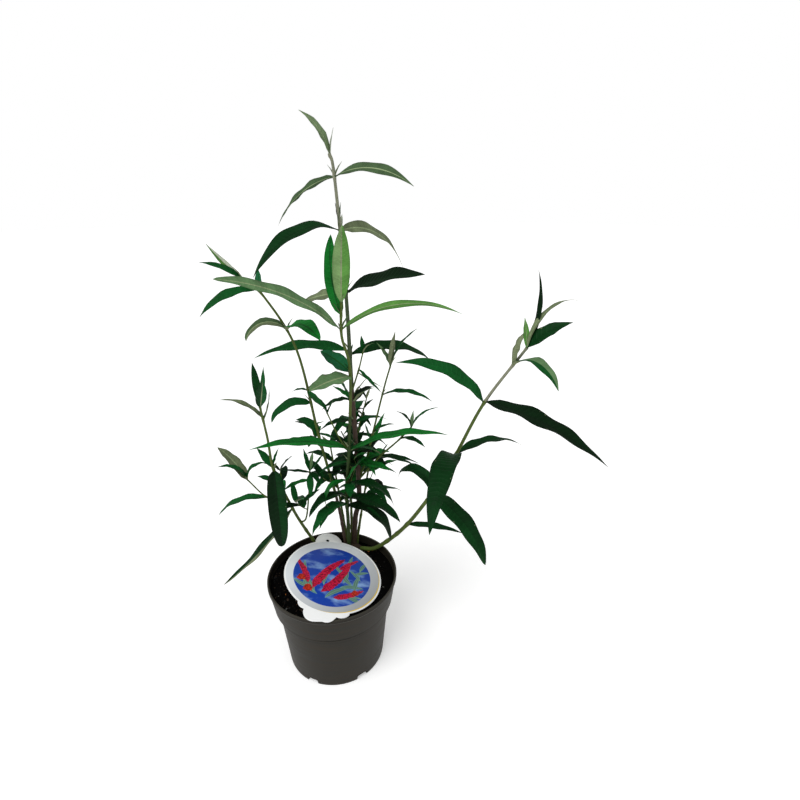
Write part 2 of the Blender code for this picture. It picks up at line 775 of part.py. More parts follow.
def main():
    for old in list(bpy.data.objects):
        bpy.data.objects.remove(old)
    make_pot()
    make_compost()
    make_label()
    space = Space()
    limbs, stems = grow_stems(space)
    for name in ("pot", "label", "compost"):
        mesh = bpy.data.objects[name].data
        corners = [vertex.co for vertex in mesh.vertices]
        space.add(name, (corners, [tuple(face.vertices) for face in mesh.polygons]))
    sprigs, leaves = grow_leaves(stems, space)
    make_crown_and_limbs(limbs)
    leafage = material("leaf", (0.015, 0.10, 0.02), 0.5)
    for mass in dict.fromkeys(shoot.mass for shoot in SHOOTS):
        shapes = [tube(*stem, STEM_SIDES) for shoot, *stem in stems if shoot.mass == mass]
        shapes += [tube(*stem, SPRIG_SIDES) for sprig, *stem in sprigs if sprig.mass == mass]
        shapes += [blade(root, leaf) for owner, root, leaf in leaves if owner == mass]
        fuse("foliage_" + mass, shapes, leafage)


if __name__ == "__main__":
    main()
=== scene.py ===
"""Looks of a young butterfly bush in its nursery pot, laid out as a Blender add-on."""

import math
import random
from functools import partial
from typing import NamedTuple

import bmesh
import bpy
import numpy as np
from bpy.props import FloatProperty, FloatVectorProperty, IntProperty, PointerProperty
from mathutils import Matrix, Vector
from mathutils.bvhtree import BVHTree


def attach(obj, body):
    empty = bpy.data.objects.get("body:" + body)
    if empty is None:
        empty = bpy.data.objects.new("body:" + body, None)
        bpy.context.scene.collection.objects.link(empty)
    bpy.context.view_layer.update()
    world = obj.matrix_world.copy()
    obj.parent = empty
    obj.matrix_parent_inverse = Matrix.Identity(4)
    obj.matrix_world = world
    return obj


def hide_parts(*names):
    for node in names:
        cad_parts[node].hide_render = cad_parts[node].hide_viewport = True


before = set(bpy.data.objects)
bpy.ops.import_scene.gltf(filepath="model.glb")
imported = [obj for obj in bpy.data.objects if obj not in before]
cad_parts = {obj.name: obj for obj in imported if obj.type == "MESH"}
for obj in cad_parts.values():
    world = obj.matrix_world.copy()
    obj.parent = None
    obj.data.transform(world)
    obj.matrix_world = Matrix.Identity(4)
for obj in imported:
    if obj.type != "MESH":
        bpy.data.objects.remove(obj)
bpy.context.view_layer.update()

bl_info = {
    "name": "Potted Butterfly Bush",
    "version": (1, 0, 0),
    "blender": (4, 5, 0),
    "location": "3D View > Sidebar > Butterfly Bush",
    "description": "Builds a young butterfly bush with its nursery pot, compost and picture label",
    "category": "Add Mesh",
}

MM = 0.001

# Pot, as in the solids
RIM_RADIUS = 0.085
POT_HEIGHT = 0.132
BASE_RADIUS = 0.065
STEP_HEIGHT = 0.0885
STEP_RISE = 0.005
STEP_RADIUS = 0.0735
COLLAR_RADIUS = 0.078
WALL = 0.0016
FLOOR = 0.003
LIP = 0.0024
LIP_DEPTH = 0.0048
NOTCHES = 6
NOTCH_WIDTH = 0.015
NOTCH_HEIGHT = 0.007
NOTCH_HEADING = -53
COMPOST_TOP = 0.1225

# Picture label, as in the solids. The tab and each lobe have a heading, a distance and a radius.
LABEL_RADIUS = 0.0633
LABEL_CENTRE = (0.0029, -0.0135, 0.1378)
LABEL_LEAN_BACK = 2.3
LABEL_LEAN_SIDE = 13.2
LABEL_THICKNESS = 0.0008
TAB = (103, 0.0610, 0.0178)
TAB_HOLE = (104, 0.0640)
TAB_HOLE_RADIUS = 0.0024
LOBES = ((-118, 0.0590, 0.0080), (-104, 0.0668, 0.0122), (-91, 0.0640, 0.0115), (-74, 0.0590, 0.0092))
FILLET = 0.009

# Leaves and stems, as in the solids
QUARTER_TURN = 90
LEAF_FOLD = 16
STEM_SPACING = 0.004
LIMB_TOP_GAP = 0.0003


class Leaf(NamedTuple):
    """One leaf: its node's height, its sizes in millimetres, its angles in degrees, its tint.

    The tint names its upper side and, after a colon, its underside. A slash parts the two halves of a side.
    Blunt runs from 0, a drawn-out tip, to 1, a round one.
    """

    node: float
    heading: float
    length: float
    width: float
    rise: float
    droop: float
    roll: float = 0
    tint: str = "green"
    blunt: float = 0


class Pairs(NamedTuple):
    """Leaves by rule: so many pairs, each a quarter turn on from the last, the biggest so long."""

    count: int
    length: float
    heading: float
    seed: int


class Shoot(NamedTuple):
    """One stem: the knots of its axis, its foot and tip radii and the top of its bare limb, in millimetres.

    It has its leaves, or pairs of them by rule, and its barks in turn from the foot to the tip.
    """

    mass: str
    knots: tuple
    radii: tuple
    limb_top: float
    leaves: tuple
    pairs: Pairs = None
    bark: tuple = ("green_bark", "green_bark")


class Sprig(NamedTuple):
    """A short side shoot of a mass's first stem, with its leaves in pairs."""

    mass: str
    node: float
    heading: float
    length: float
    rise: float
    pairs: Pairs


SHOOTS = (
    Shoot(
        "tall",
        (
            (22, 59, 118), (24, 61, 137), (27, 60, 175), (34, 58, 222), (30, 58, 355),
            (28, 52, 492), (22, 44, 614), (18, 42, 636),
        ),
        (3.8, 1.5),
        235,
        (
            Leaf(634, 213, 52, 10, 80, 57, -60, "felted"),
            Leaf(634, 20, 26, 6, 84, 10, 0, "tip:tip"),
            Leaf(614, -40, 110, 15, 20, 50, 35, "dull:dull"),
            Leaf(614, 145, 108, 15, -7, 45, -45, "dull"),
            Leaf(565, 170, 24, 6, 80, 0, 0, "darkest:darkest"),
            Leaf(565, -10, 24, 6, 85, 0, 0, "sage:dull"),
            Leaf(560, 235, 138, 18, 20, 70, -20, "deep"),
            Leaf(560, 55, 140, 19, 10, 68, 45, "olive", 0.4),
            Leaf(496, 60, 32, 8, 72, 0, 0, "deep:deep"),
            Leaf(492, -35, 112, 28, 28, 25, 30, "darkest", 0.3),
            Leaf(492, 130, 110, 18, -10, 10, -40, "olive"),
            Leaf(420, 186, 118, 20, 20, 45, -22, "green"),
            Leaf(415, 35, 140, 18, 15, 60, 25, "deep"),
            Leaf(350, -30, 45, 11, 60, 40, 0, "green"),
            Leaf(350, 44, 41, 14, 55, 69, 0, "darkest", 0.4),
            Leaf(355, 150, 35, 9, 35, 25, 0, "bright"),
            Leaf(355, 204, 43, 13, 24, 66, 0, "deep", 0.4),
            Leaf(341, 60, 30, 7, -20, 40, 0, "green"),
            Leaf(324, 205, 48, 13, 30, 65, 0, "deep"),
            Leaf(322, 25, 50, 13, 25, 60, 0, "green"),
            Leaf(276, -40, 40, 12, 0, 60, 0, "bright"),
            Leaf(290, 110, 50, 13, 35, 50, 0, "deep"),
            Leaf(258, 185, 54, 14, 30, 70, 0, "green"),
            Leaf(258, 30, 60, 15, 30, 70, 0, "deep"),
        ),
        None,
        ("old_bark", "red_bark", "grey_bark", "pale_bark"),
    ),
    Shoot("tall", ((31, 55, 371), (40, 50, 399), (46, 47, 422)), (1.1, 0.8), 0, (
        Leaf(422, 110, 20, 6, 80, 20, 0, "green"),
        Leaf(422, -20, 20, 6, 70, 60, 0, "green"),
        Leaf(399, -20, 40, 9, -45, -5, 0, "green"),
        Leaf(395, 30, 45, 9, -45, -15, 0, "light"),
    )),
    Shoot("tall", (
        (34, 58, 238), (47, 60, 275), (54, 64, 304), (70, 69, 368), (78, 70, 396),
    ), (1.6, 1.0), 0, (
        Leaf(396, 160, 35, 9, 75, 35, 0, "sage"),
        Leaf(396, -60, 50, 9, 80, 10, 0, "light"),
        Leaf(396, 15, 60, 11, 75, 45, 0, "green"),
        Leaf(358, -20, 70, 12, 30, 60, 0, "green"),
        Leaf(304, -5, 35, 10, 55, 55, 0, "green"),
        Leaf(296, 155, 25, 6, 55, -30, 0, "green"),
    )),
    Shoot("tall", (
        (34, 58, 239), (54, 52, 266), (66, 48, 282), (87, 42, 305), (104, 36, 327),
    ), (1.6, 0.9), 0, (
        Leaf(327, 170, 30, 7, 85, 75, 0, "deep"),
        Leaf(327, 60, 22, 5, 80, 10, 0, "sage"),
        Leaf(327, 5, 45, 8, 70, 65, 0, "green"),
        Leaf(309, -35, 40, 10, 30, 65, 0, "green"),
        Leaf(282, -5, 50, 8, 0, 25, 0, "deep"),
        Leaf(281, -35, 55, 8, 10, 15, 0, "deep"),
        Leaf(266, -20, 25, 8, 20, 70, 0, "deep"),
    )),
    Shoot(
        "front",
        (
            (17, 56, 118), (17, 54, 137), (18, 49, 175), (19, 40, 227), (26, 28, 301),
            (33, 14, 408), (26, 7, 453), (28, 2, 491),
        ),
        (2.6, 1.4),
        200,
        (
            Leaf(477, 165, 84, 16, 70, -30, -60, "bright", 0.6),
            Leaf(491, -80, 105, 18, 65, 25, 0, "bright:light/pale", 0.3),
            Leaf(460, 220, 152, 19, 45, 35, -35, "sage", 0.8),
            Leaf(460, 0, 140, 12, 40, 65, 25, "light"),
            Leaf(408, 150, 46, 21, 35, 20, -20, "bluish", 0.5),
            Leaf(403, 230, 62, 26, 10, 20, -10, "sage", 0.5),
            Leaf(301, 210, 128, 18, 32, 35, -15, "bright"),
            Leaf(298, -5, 130, 18, 35, 45, 0, "bright"),
            Leaf(301, 40, 65, 13, -5, 50, 0, "green"),
            Leaf(282, 195, 40, 8, 0, 35, 0, "green"),
            Leaf(267, 170, 25, 9, -15, 25, 0, "deep"),
            Leaf(251, 205, 65, 12, 20, 160, 0, "bright"),
            Leaf(238, -15, 80, 20, 45, 120, 0, "deep"),
            Leaf(247, -20, 56, 18, 71, 30, 0, "green:bright", 0.4),
            Leaf(221, -22, 85, 24, 22, 72, 0, "deep", 0.3),
            Leaf(210, 227, 72, 20, 33, 101, 0, "green"),
            Leaf(221, 219, 70, 18, 53, 119, 0, "deep", 0.3),
            Leaf(205, -20, 55, 12, 20, 60, 0, "deep"),
            Leaf(208, -15, 91, 20, 17, 112, 0, "darkest", 0.3),
        ),
        None,
        ("olive_bark", "olive_bark", "green_bark"),
    ),
    Shoot("front", ((26, 28, 300), (16, 26, 315), (3, 18, 355)), (1.0, 0.8), 0, (
        Leaf(355, 170, 25, 7, 75, 35, 0, "green"),
        Leaf(355, 20, 20, 6, 65, 10, 0, "green"),
    )),
    Shoot(
        "left",
        (
            (13, 58, 118), (11, 58, 137), (4, 52, 209), (-13, 42, 312), (-30, 34, 427),
            (-58, 20, 493), (-77, 12, 514),
        ),
        (2.2, 1.2),
        225,
        (
            Leaf(514, 178, 50, 7, 40, -13, -40, "tip/light:tip"),
            Leaf(514, 194, 46, 8, 44, 39, -40, "green"),
            Leaf(502, 220, 72, 12, 13, 60, -30, "green"),
            Leaf(500, 20, 25, 9, 85, -5, 40, "bluish"),
            Leaf(454, 198, 59, 13, 54, 131, -25, "dull/olive", 0.8),
            Leaf(454, -45, 68, 22, 40, 80, 15, "bright", 0.5),
            Leaf(376, 190, 20, 6, 30, 60, 0, "green"),
            Leaf(376, -65, 65, 8, 0, -5, 0, "green"),
            Leaf(359, 195, 60, 15, 25, 95, -20, "green", 0.7),
            Leaf(316, -20, 25, 6, 5, 30, 0, "green"),
            Leaf(312, 154, 43, 15, 74, 98, 0, "green", 0.4),
        ),
        None,
        ("red_bark", "green_bark"),
    ),
    Shoot(
        "right",
        (
            (28, 57, 118), (34, 56, 125), (57, 47, 134), (98, 27, 186), (137, 5, 263),
            (156, -8, 313), (181, -30, 388), (216, -52, 457),
        ),
        (2.9, 1.4),
        180,
        (
            Leaf(457, 36, 79, 6, 54, -63, 0, "darkest:darkest"),
            Leaf(457, 26, 82, 7, 84, 98, 0, "olive"),
            Leaf(457, -15, 50, 15, 55, 40, 40, "deep"),
            Leaf(457, 100, 30, 7, 72, 10, 0, "light"),
            Leaf(436, -62, 75, 17, 46, 101, 0, "green/sage", 0.3),
            Leaf(436, 162, 38, 13, 83, -43, 30, "green", 0.3),
            Leaf(388, 180, 112, 18, 60, 68, -30, "green"),
            Leaf(390, -40, 142, 25, 5, 35, 10, "darkest"),
            Leaf(313, 20, 95, 17, 30, 65, 0, "deep"),
            Leaf(311, -107, 145, 27, 40, 100, 0, "deep", 0.3),
            Leaf(249, 145, 76, 15, 88, 165, -20, "deep", 0.6),
            Leaf(246, -43, 112, 24, -3, 65, 15, "deep", 0.6),
            Leaf(188, -25, 80, 11, 20, 25, 10, "deep"),
        ),
        None,
        ("green_bark", "green_bark", "green_bark", "green_bark", "pale_bark"),
    ),
    Shoot(
        "side",
        (
            (-14, 55, 118), (-28, 50, 137), (-43, 38, 179), (-53, 24, 221), (-63, 0, 287),
            (-63, -12, 337), (-65, -20, 380),
        ),
        (2.3, 1.2),
        200,
        (
            Leaf(380, 110, 65, 9, 50, 35, 0, "deep"),
            Leaf(380, 60, 45, 9, 65, -20, 0, "green"),
            Leaf(379, -65, 60, 12, 45, -10, 0, "green:green/deep"),
            Leaf(365, 175, 55, 10, 55, 65, 0, "olive"),
            Leaf(362, 20, 40, 7, 60, -30, 0, "olive"),
            Leaf(291, 140, 35, 11, 35, 10, 0, "green"),
            Leaf(293, 30, 25, 6, 75, 15, 0, "green"),
            Leaf(287, -75, 105, 22, -25, 90, 0, "darkest/deep", 0.8),
            Leaf(214, 205, 135, 19, -55, -25, 0, "deep/under", 0.4),
        ),
    ),
    Shoot("side", ((-56, 18, 236), (-77, 8, 243), (-96, -2, 275)), (1.0, 0.8), 0, (
        Leaf(275, 20, 36, 11, 95, 115, 0, "green", 0.4),
        Leaf(275, 192, 43, 12, 79, 90, 0, "green", 0.4),
        Leaf(275, 150, 57, 16, 53, 35, 0, "olive:olive", 0.5),
        Leaf(243, 180, 75, 13, 10, 65, 0, "green", 0.6),
    )),
    Shoot("side", (
        (-44, 37, 184), (-35, 30, 198), (-27, 25, 247), (-24, 22, 274),
    ), (1.2, 0.8), 0, (
        Leaf(274, 150, 30, 8, 70, -10, 0, "green"),
        Leaf(274, 60, 25, 7, 65, -10, 0, "sage"),
        Leaf(271, 190, 35, 8, 15, 10, 0, "deep"),
        Leaf(274, 20, 30, 8, 40, -15, 0, "green"),
        Leaf(268, -80, 30, 9, -20, 50, 0, "green"),
        Leaf(271, -45, 25, 8, 10, 75, 0, "deep"),
    )),
    Shoot("rear_left", (
        (14, 63, 118), (12, 67, 140), (2, 84, 205), (-8, 102, 262),
    ), (2.0, 1.1), 170, (), Pairs(4, 70, 60, 3)),
    Shoot("rear", (
        (20, 66, 118), (20, 69, 140), (20, 88, 215), (23, 116, 330),
    ), (2.0, 1.1), 180, (), Pairs(5, 85, 80, 5)),
    Shoot("rear_right", (
        (27, 64, 118), (29, 68, 140), (40, 88, 205), (52, 112, 270),
    ), (2.0, 1.1), 170, (), Pairs(4, 70, 40, 8)),
)

SPRIGS = (
    Sprig("tall", 262, 150, 50, 60, Pairs(3, 28, 30, 11)),
    Sprig("tall", 300, 64, 55, 55, Pairs(3, 30, 50, 12)),
)

MASSES = tuple(dict.fromkeys(shoot.mass for shoot in SHOOTS))
SPRIG_RADII = (1.2, 0.8)
SPRIG_STEPS = 12
PAIR_TURN = 12
PAIR_TAPER = 0.4
PAIR_LENGTHS = (0.9, 1.1)
PAIR_SLENDERNESS = 0.23
PAIR_RISES = (25, 50)
PAIR_DROOPS = (45, 85)
TIP_PAIR_RISE = 32
TIP_PAIR_DROOP = 0.25
RULE_TINTS = ("deep", "deep", "green", "green", "bright")


# Settings


def colour_setting(name, description, default):
    """A colour that a user can change."""
    return FloatVectorProperty(
        name=name, description=description, default=default, subtype="COLOR", size=3, min=0.0, max=1.0
    )


class PotSettings(bpy.types.PropertyGroup):
    """Colours of the pot and what fills it."""

    plastic: colour_setting("Plastic", "Moulded plastic of the pot", (0.0165, 0.0150, 0.0110))
    compost: colour_setting("Compost", "Damp compost", (0.0016, 0.0014, 0.0013))
    crumbs: IntProperty(name="Crumbs", description="Loose crumbs lying on the compost", default=1500, min=0)
    ring_depth: FloatProperty(
        name="Ring depth", description="Depth of the plastic's faint rings", default=0.0001, unit="LENGTH"
    )


class LabelSettings(bpy.types.PropertyGroup):
    """Colours of the picture label."""

    card: colour_setting("Card", "Silver-grey border", (0.62, 0.65, 0.68))
    edge: colour_setting("Edge", "White edge", (0.92, 0.93, 0.93))
    gold: colour_setting("Gold", "Thin yellow crescent", (0.75, 0.52, 0.06))
    sky: colour_setting("Sky", "Blue of the picture's sky", (0.004, 0.045, 0.36))
    cloud: colour_setting("Cloud", "Pale clouds in the picture", (0.26, 0.44, 0.76))
    flower: colour_setting("Flower", "Crimson spikes in the picture", (0.68, 0.006, 0.06))
    bloom: colour_setting("Bloom", "Orange-red flowers in the picture", (0.72, 0.030, 0.006))
    foliage: colour_setting("Foliage", "Grey-green leaves in the picture", (0.09, 0.19, 0.15))


class PlantSettings(bpy.types.PropertyGroup):
    """Leaf and bark colours, and how much fine growth there is."""

    darkest: colour_setting("Darkest", "Shaded leaves", (0.0012, 0.014, 0.0025))
    deep: colour_setting("Deep", "Oldest leaves", (0.0015, 0.032, 0.005))
    green: colour_setting("Green", "Grown leaves", (0.003, 0.072, 0.012))
    bright: colour_setting("Bright", "Leaves in full light", (0.006, 0.145, 0.018))
    light: colour_setting("Light", "Light green young leaves", (0.085, 0.23, 0.045))
    pale: colour_setting("Pale", "Newest large leaves", (0.175, 0.295, 0.112))
    sage: colour_setting("Sage", "Felted young leaves", (0.105, 0.20, 0.085))
    dull: colour_setting("Dull", "Dull grey-green leaves", (0.050, 0.092, 0.038))
    bluish: colour_setting("Bluish", "Blue-green leaves", (0.010, 0.105, 0.038))
    felted: colour_setting("Felted", "Speckled young leaves", (0.150, 0.220, 0.110))
    olive: colour_setting("Olive", "Worn olive leaves", (0.130, 0.165, 0.085))
    tip: colour_setting("Tip", "White-felted buds", (0.42, 0.47, 0.36))
    under: colour_setting("Underside", "Felted undersides", (0.16, 0.19, 0.105))
    old_bark: colour_setting("Old bark", "Bark at the foot", (0.060, 0.038, 0.024))
    red_bark: colour_setting("Red bark", "Half-ripe stems", (0.080, 0.052, 0.038))
    green_bark: colour_setting("Green bark", "Green stems", (0.080, 0.120, 0.022))
    grey_bark: colour_setting("Grey bark", "Middle of the tall stem", (0.060, 0.088, 0.042))
    olive_bark: colour_setting("Olive bark", "Foot of the front stem", (0.030, 0.060, 0.013))
    pale_bark: colour_setting("Pale bark", "Felted stem tips", (0.25, 0.26, 0.18))
    side_twigs: IntProperty(name="Side twigs", description="Most fine twigs on a leader", default=3, min=0)


class StageSettings(bpy.types.PropertyGroup):
    """Camera, floor and light."""

    floor: colour_setting("Floor", "Plain pale floor", (0.93, 0.93, 0.93))
    floor_glow: FloatProperty(name="Floor glow", description="Keeps the far floor white", default=0.28)
    lens: FloatProperty(name="Lens", description="Focal length", default=23.0, unit="CAMERA")
    key_power: FloatProperty(name="Key power", description="Strength of the main light", default=1.7)
    surround: FloatProperty(name="Surround", description="Strength of the even light", default=0.5)
    sheen: FloatProperty(name="Sheen", description="Strength of the surround in reflections", default=0.3)


# Shader building


def add_node(tree, kind, inputs=None, **settings):
    """A shader node whose inputs are values or other nodes' sockets."""
    node = tree.nodes.new(kind)
    for key, value in settings.items():
        setattr(node, key, value)
    for key, value in (inputs or {}).items():
        if isinstance(value, bpy.types.NodeSocket):
            tree.links.new(value, node.inputs[key])
        else:
            node.inputs[key].default_value = value
    return node


def maths(tree, operation, *values):
    """The result of one maths node."""
    return add_node(tree, "ShaderNodeMath", dict(enumerate(values)), operation=operation).outputs[0]


def vector_maths(tree, operation, *vectors):
    """The results of one vector maths node, its Vector and its Value."""
    return add_node(tree, "ShaderNodeVectorMath", dict(enumerate(vectors)), operation=operation).outputs


def scaled(tree, colour, level):
    """A colour made lighter or darker by a level."""
    return add_node(tree, "ShaderNodeVectorMath", {0: colour, "Scale": level}, operation="SCALE").outputs[0]


def axes(tree, vector):
    """The three parts of a vector."""
    return add_node(tree, "ShaderNodeSeparateXYZ", {0: vector}).outputs


def object_place(tree):
    """Where a point of the surface lies, in the plant's own frame."""
    return add_node(tree, "ShaderNodeTexCoord").outputs["Object"]


def mapped(tree, place, changes, kind="POINT"):
    """A place moved, turned or stretched."""
    return add_node(tree, "ShaderNodeMapping", {"Vector": place, **changes}, vector_type=kind).outputs[0]


def noise(tree, place, scale, detail, roughness=0.5):
    """Cloudy noise between nothing and one."""
    inputs = {"Vector": place, "Scale": scale, "Detail": detail, "Roughness": roughness}
    return add_node(tree, "ShaderNodeTexNoise", inputs).outputs[0]


def ramp(tree, value, low, high, top=1.0):
    """A value's climb from nothing at one level to the top at another."""
    inputs = {"Value": value, "From Min": low, "From Max": high, "To Max": top}
    return add_node(tree, "ShaderNodeMapRange", inputs).outputs[0]


def blend(tree, factor, first, second):
    """The result of mixing two colours."""
    inputs = {0: factor}
    for key, colour in ((6, first), (7, second)):
        inputs[key] = colour if isinstance(colour, bpy.types.NodeSocket) else (*colour, 1.0)
    return add_node(tree, "ShaderNodeMix", inputs, data_type="RGBA").outputs[2]


def bump(tree, height, strength, distance):
    """A bump normal from a height."""
    inputs = {"Height": height, "Strength": strength, "Distance": distance}
    return add_node(tree, "ShaderNodeBump", inputs).outputs[0]


def connect(tree, node, results):
    """Links results to a node's inputs by their names."""
    for key, result in results.items():
        tree.links.new(result, node.inputs[key])


def new_group(name, inputs, outputs):
    """A shader node group with named sockets: its tree, what it is given and its output node."""
    tree = bpy.data.node_groups.new(name, "ShaderNodeTree")
    for label, kind, default in inputs:
        socket = tree.interface.new_socket(label, in_out="INPUT", socket_type="NodeSocket" + kind)
        if default is not None:
            socket.default_value = default
    for label, kind in outputs.items():
        tree.interface.new_socket(label, in_out="OUTPUT", socket_type="NodeSocket" + kind)
    return tree, tree.nodes.new("NodeGroupInput").outputs, tree.nodes.new("NodeGroupOutput")


def use_group(tree, group, inputs=None):
    """The results of a node group in a material."""
    return add_node(tree, "ShaderNodeGroup", inputs, node_tree=bpy.data.node_groups[group]).outputs


BROAD_SWING = 2.0
FINE_SWING = 0.7


def make_mottle_group():
    """Uneven colour and a fine grain, in object space."""
    tree, given, result = new_group(
        "mottle",
        (
            ("Colour", "Color", None), ("Scale", "Float", 60.0),
            ("Amount", "Float", 0.3), ("Grain", "Float", 600.0),
        ),
        {"Colour": "Color", "Height": "Float", "Patch": "Float"},
    )
    calc = partial(maths, tree)
    place = object_place(tree)
    broad = noise(tree, place, given["Scale"], 3.0)
    fine = noise(tree, place, given["Grain"], 2.0)
    swing = calc("MULTIPLY", calc("SUBTRACT", broad, 0.5), BROAD_SWING)
    swing = calc("MULTIPLY_ADD", calc("SUBTRACT", fine, 0.5), FINE_SWING, swing)
    tone = scaled(tree, given["Colour"], calc("MULTIPLY_ADD", swing, given["Amount"], 1.0))
    connect(tree, result, {"Colour": tone, "Height": fine, "Patch": broad})


def mottled(tree, colour, scale, amount, grain=600.0):
    """The mottle group's results for one colour."""
    inputs = {"Colour": (*colour, 1.0), "Scale": scale, "Amount": amount, "Grain": grain}
    return use_group(tree, "mottle", inputs)


VEIN_SHARPNESS = 6.0
VEIN_FADE = 3.0
RIB_SHARPNESS = 10.0
EDGE_SHARPNESS = 8.0
LUCK_TURNS = 7.0


def make_blade_group():
    """Side veins, puffs between them, the edge and chance values, from each leaf's blade attribute; one
    chance value tips each leaf's painted shade towards one half.
    """
    tree, given, result = new_group(
        "blade_veins",
        (("Spacing", "Float", 5.5), ("Slant", "Float", 0.75)),
        dict.fromkeys(("Veins", "Height", "Chance", "Edge", "Half"), "Float"),
    )
    calc = partial(maths, tree)
    blade = add_node(tree, "ShaderNodeAttribute", attribute_name="blade", attribute_type="GEOMETRY")
    over, along, luck = axes(tree, blade.outputs["Vector"])
    across = calc("ABSOLUTE", over)
    turn = calc("DIVIDE", along, given["Spacing"])
    turn = calc("SUBTRACT", turn, calc("MULTIPLY", across, given["Slant"]))
    wave = calc("MULTIPLY_ADD", calc("SINE", calc("MULTIPLY", turn, math.tau)), 0.5, 0.5)
    fade = calc("SUBTRACT", 1.0, calc("POWER", across, VEIN_FADE))
    veins = calc("MULTIPLY", calc("POWER", wave, VEIN_SHARPNESS), fade)
    rib = calc("POWER", calc("SUBTRACT", 1.0, across), RIB_SHARPNESS)
    # Painted shade: a chance lean, signed by the side, makes one half of each leaf lighter and the other
    # darker
    lean = calc("SUBTRACT", calc("FRACT", calc("MULTIPLY", luck, LUCK_TURNS)), 0.5)
    connect(tree, result, {
        "Veins": veins,
        "Height": calc("SUBTRACT", calc("SUBTRACT", 1.0, veins), rib),
        "Chance": luck,
        "Edge": calc("POWER", across, EDGE_SHARPNESS),
        "Half": calc("MULTIPLY", calc("SIGN", over), lean),
    })


BARK_STRETCH = (1.0, 1.0, 0.18)


def make_bark_group():
    """Fine lengthwise cracks, in object space."""
    tree, given, result = new_group(
        "bark_cracks", (("Scale", "Float", 900.0),), {"Cracks": "Float", "Height": "Float"}
    )
    calc = partial(maths, tree)
    drawn = mapped(tree, object_place(tree), {"Scale": BARK_STRETCH})
    grain = noise(tree, drawn, given["Scale"], 4.0)
    cracks = calc("POWER", calc("ABSOLUTE", calc("SUBTRACT", grain, 0.5)), 0.5)
    connect(tree, result, {"Cracks": cracks, "Height": grain})


# Motifs of the label's picture, in millimetres
MOTIF_INPUTS = (
    ("Place", "Vector", None), ("Length", "Float", 30.0), ("Width", "Float", 6.0), ("Bend", "Float", 0.01),
)
FLORET_SCALE = 0.5
SPIKE_BLUNTNESS = 4.0
SPIKE_FOOT = 5.0
SPIKE_RAGGEDNESS = 1.6
FLORET_LIGHT = 1.25
FLORET_SHADE = 1.5
EDGE_LINE = 0.45
RIB_LINE = 0.28


def motif_place(tree, given):
    """How far a point lies from a motif's bent middle line, and its share of the motif's length."""
    calc = partial(maths, tree)
    over, along, _ = axes(tree, given["Place"])
    bend = calc("MULTIPLY", calc("MULTIPLY", along, along), given["Bend"])
    return calc("ABSOLUTE", calc("SUBTRACT", over, bend)), calc("DIVIDE", along, given["Length"])


def make_spike_group():
    """A flower spike that stands on a point of the picture, rises, leans over and tapers."""
    tree, given, result = new_group("flower_spike", MOTIF_INPUTS, {"Mask": "Float", "Shade": "Float"})
    calc = partial(maths, tree)
    across, share = motif_place(tree, given)
    taper = calc("SUBTRACT", 1.0, calc("POWER", share, SPIKE_BLUNTNESS))
    taper = calc("SQRT", calc("MAXIMUM", taper, 0.0))
    taper = calc("MULTIPLY", taper, calc("MINIMUM", calc("MULTIPLY", share, SPIKE_FOOT), 1.0))
    reach = calc("MULTIPLY", calc("MULTIPLY", given["Width"], 0.5), taper)
    cells = {"Vector": given["Place"], "Scale": FLORET_SCALE}
    florets = add_node(tree, "ShaderNodeTexVoronoi", cells).outputs["Distance"]
    inside = calc("LESS_THAN", calc("MULTIPLY_ADD", florets, SPIKE_RAGGEDNESS, across), reach)
    inside = calc("MULTIPLY", inside, calc("GREATER_THAN", share, 0.0))
    shade = calc("SUBTRACT", FLORET_LIGHT, calc("MULTIPLY", florets, FLORET_SHADE))
    connect(tree, result, {"Mask": inside, "Shade": shade})


def make_pointed_leaf_group():
    """A slim leaf that starts at a point of the picture, with a pale edge and rib."""
    tree, given, result = new_group("pointed_leaf", MOTIF_INPUTS, {"Mask": "Float", "Rib": "Float"})
    calc = partial(maths, tree)
    across, share = motif_place(tree, given)
    bulge = calc("MULTIPLY", share, calc("SUBTRACT", 1.0, share))
    reach = calc("MULTIPLY", calc("MULTIPLY", given["Width"], 2.0), bulge)
    inside = calc("LESS_THAN", across, reach)
    edge = calc("GREATER_THAN", across, calc("SUBTRACT", reach, EDGE_LINE))
    line = calc("MAXIMUM", edge, calc("LESS_THAN", across, RIB_LINE))
    connect(tree, result, {"Mask": inside, "Rib": calc("MULTIPLY", inside, line)})


GROUP_MAKERS = (
    make_mottle_group, make_blade_group, make_bark_group, make_spike_group, make_pointed_leaf_group,
)


def principled(name, values):
    """A new material, its node tree and its shader, with plain values on the shader's own sockets."""
    finish = bpy.data.materials.new(name)
    finish.use_nodes = True
    shader = finish.node_tree.nodes["Principled BSDF"]
    for key, value in values.items():
        shader.inputs[key].default_value = value
    return finish, finish.node_tree, shader


# Finishes of leaves. A mottle has a scale, an amount and, where it isn't the usual one, a grain.
# A bump has a strength and a distance.
LEAF_MOTTLE = (70.0, 0.55)
LEAF_BUMP = (0.55, 0.0006)
VEIN_SHOW = 0.25
VEIN_LIGHT = 1.5
VEIN_LIFT = 0.004
LEAF_LEVEL = 0.9
CHANCE_SWING = 0.3
# Painted shade across each leaf: how much lighter one half is than the other, and how much darker the edges
# are
HALF_SHADE_SWING = 0.3
EDGE_SHADE = -0.35
LEAF_ROUGHNESS = 0.45
FELT_ROUGHNESS = 0.35
PATCH_ROUGHNESS = 0.2
LEAF_GRAIN = 0.35
LEAF_GLOSS = 0.07
FELT_GLOSS = 0.02


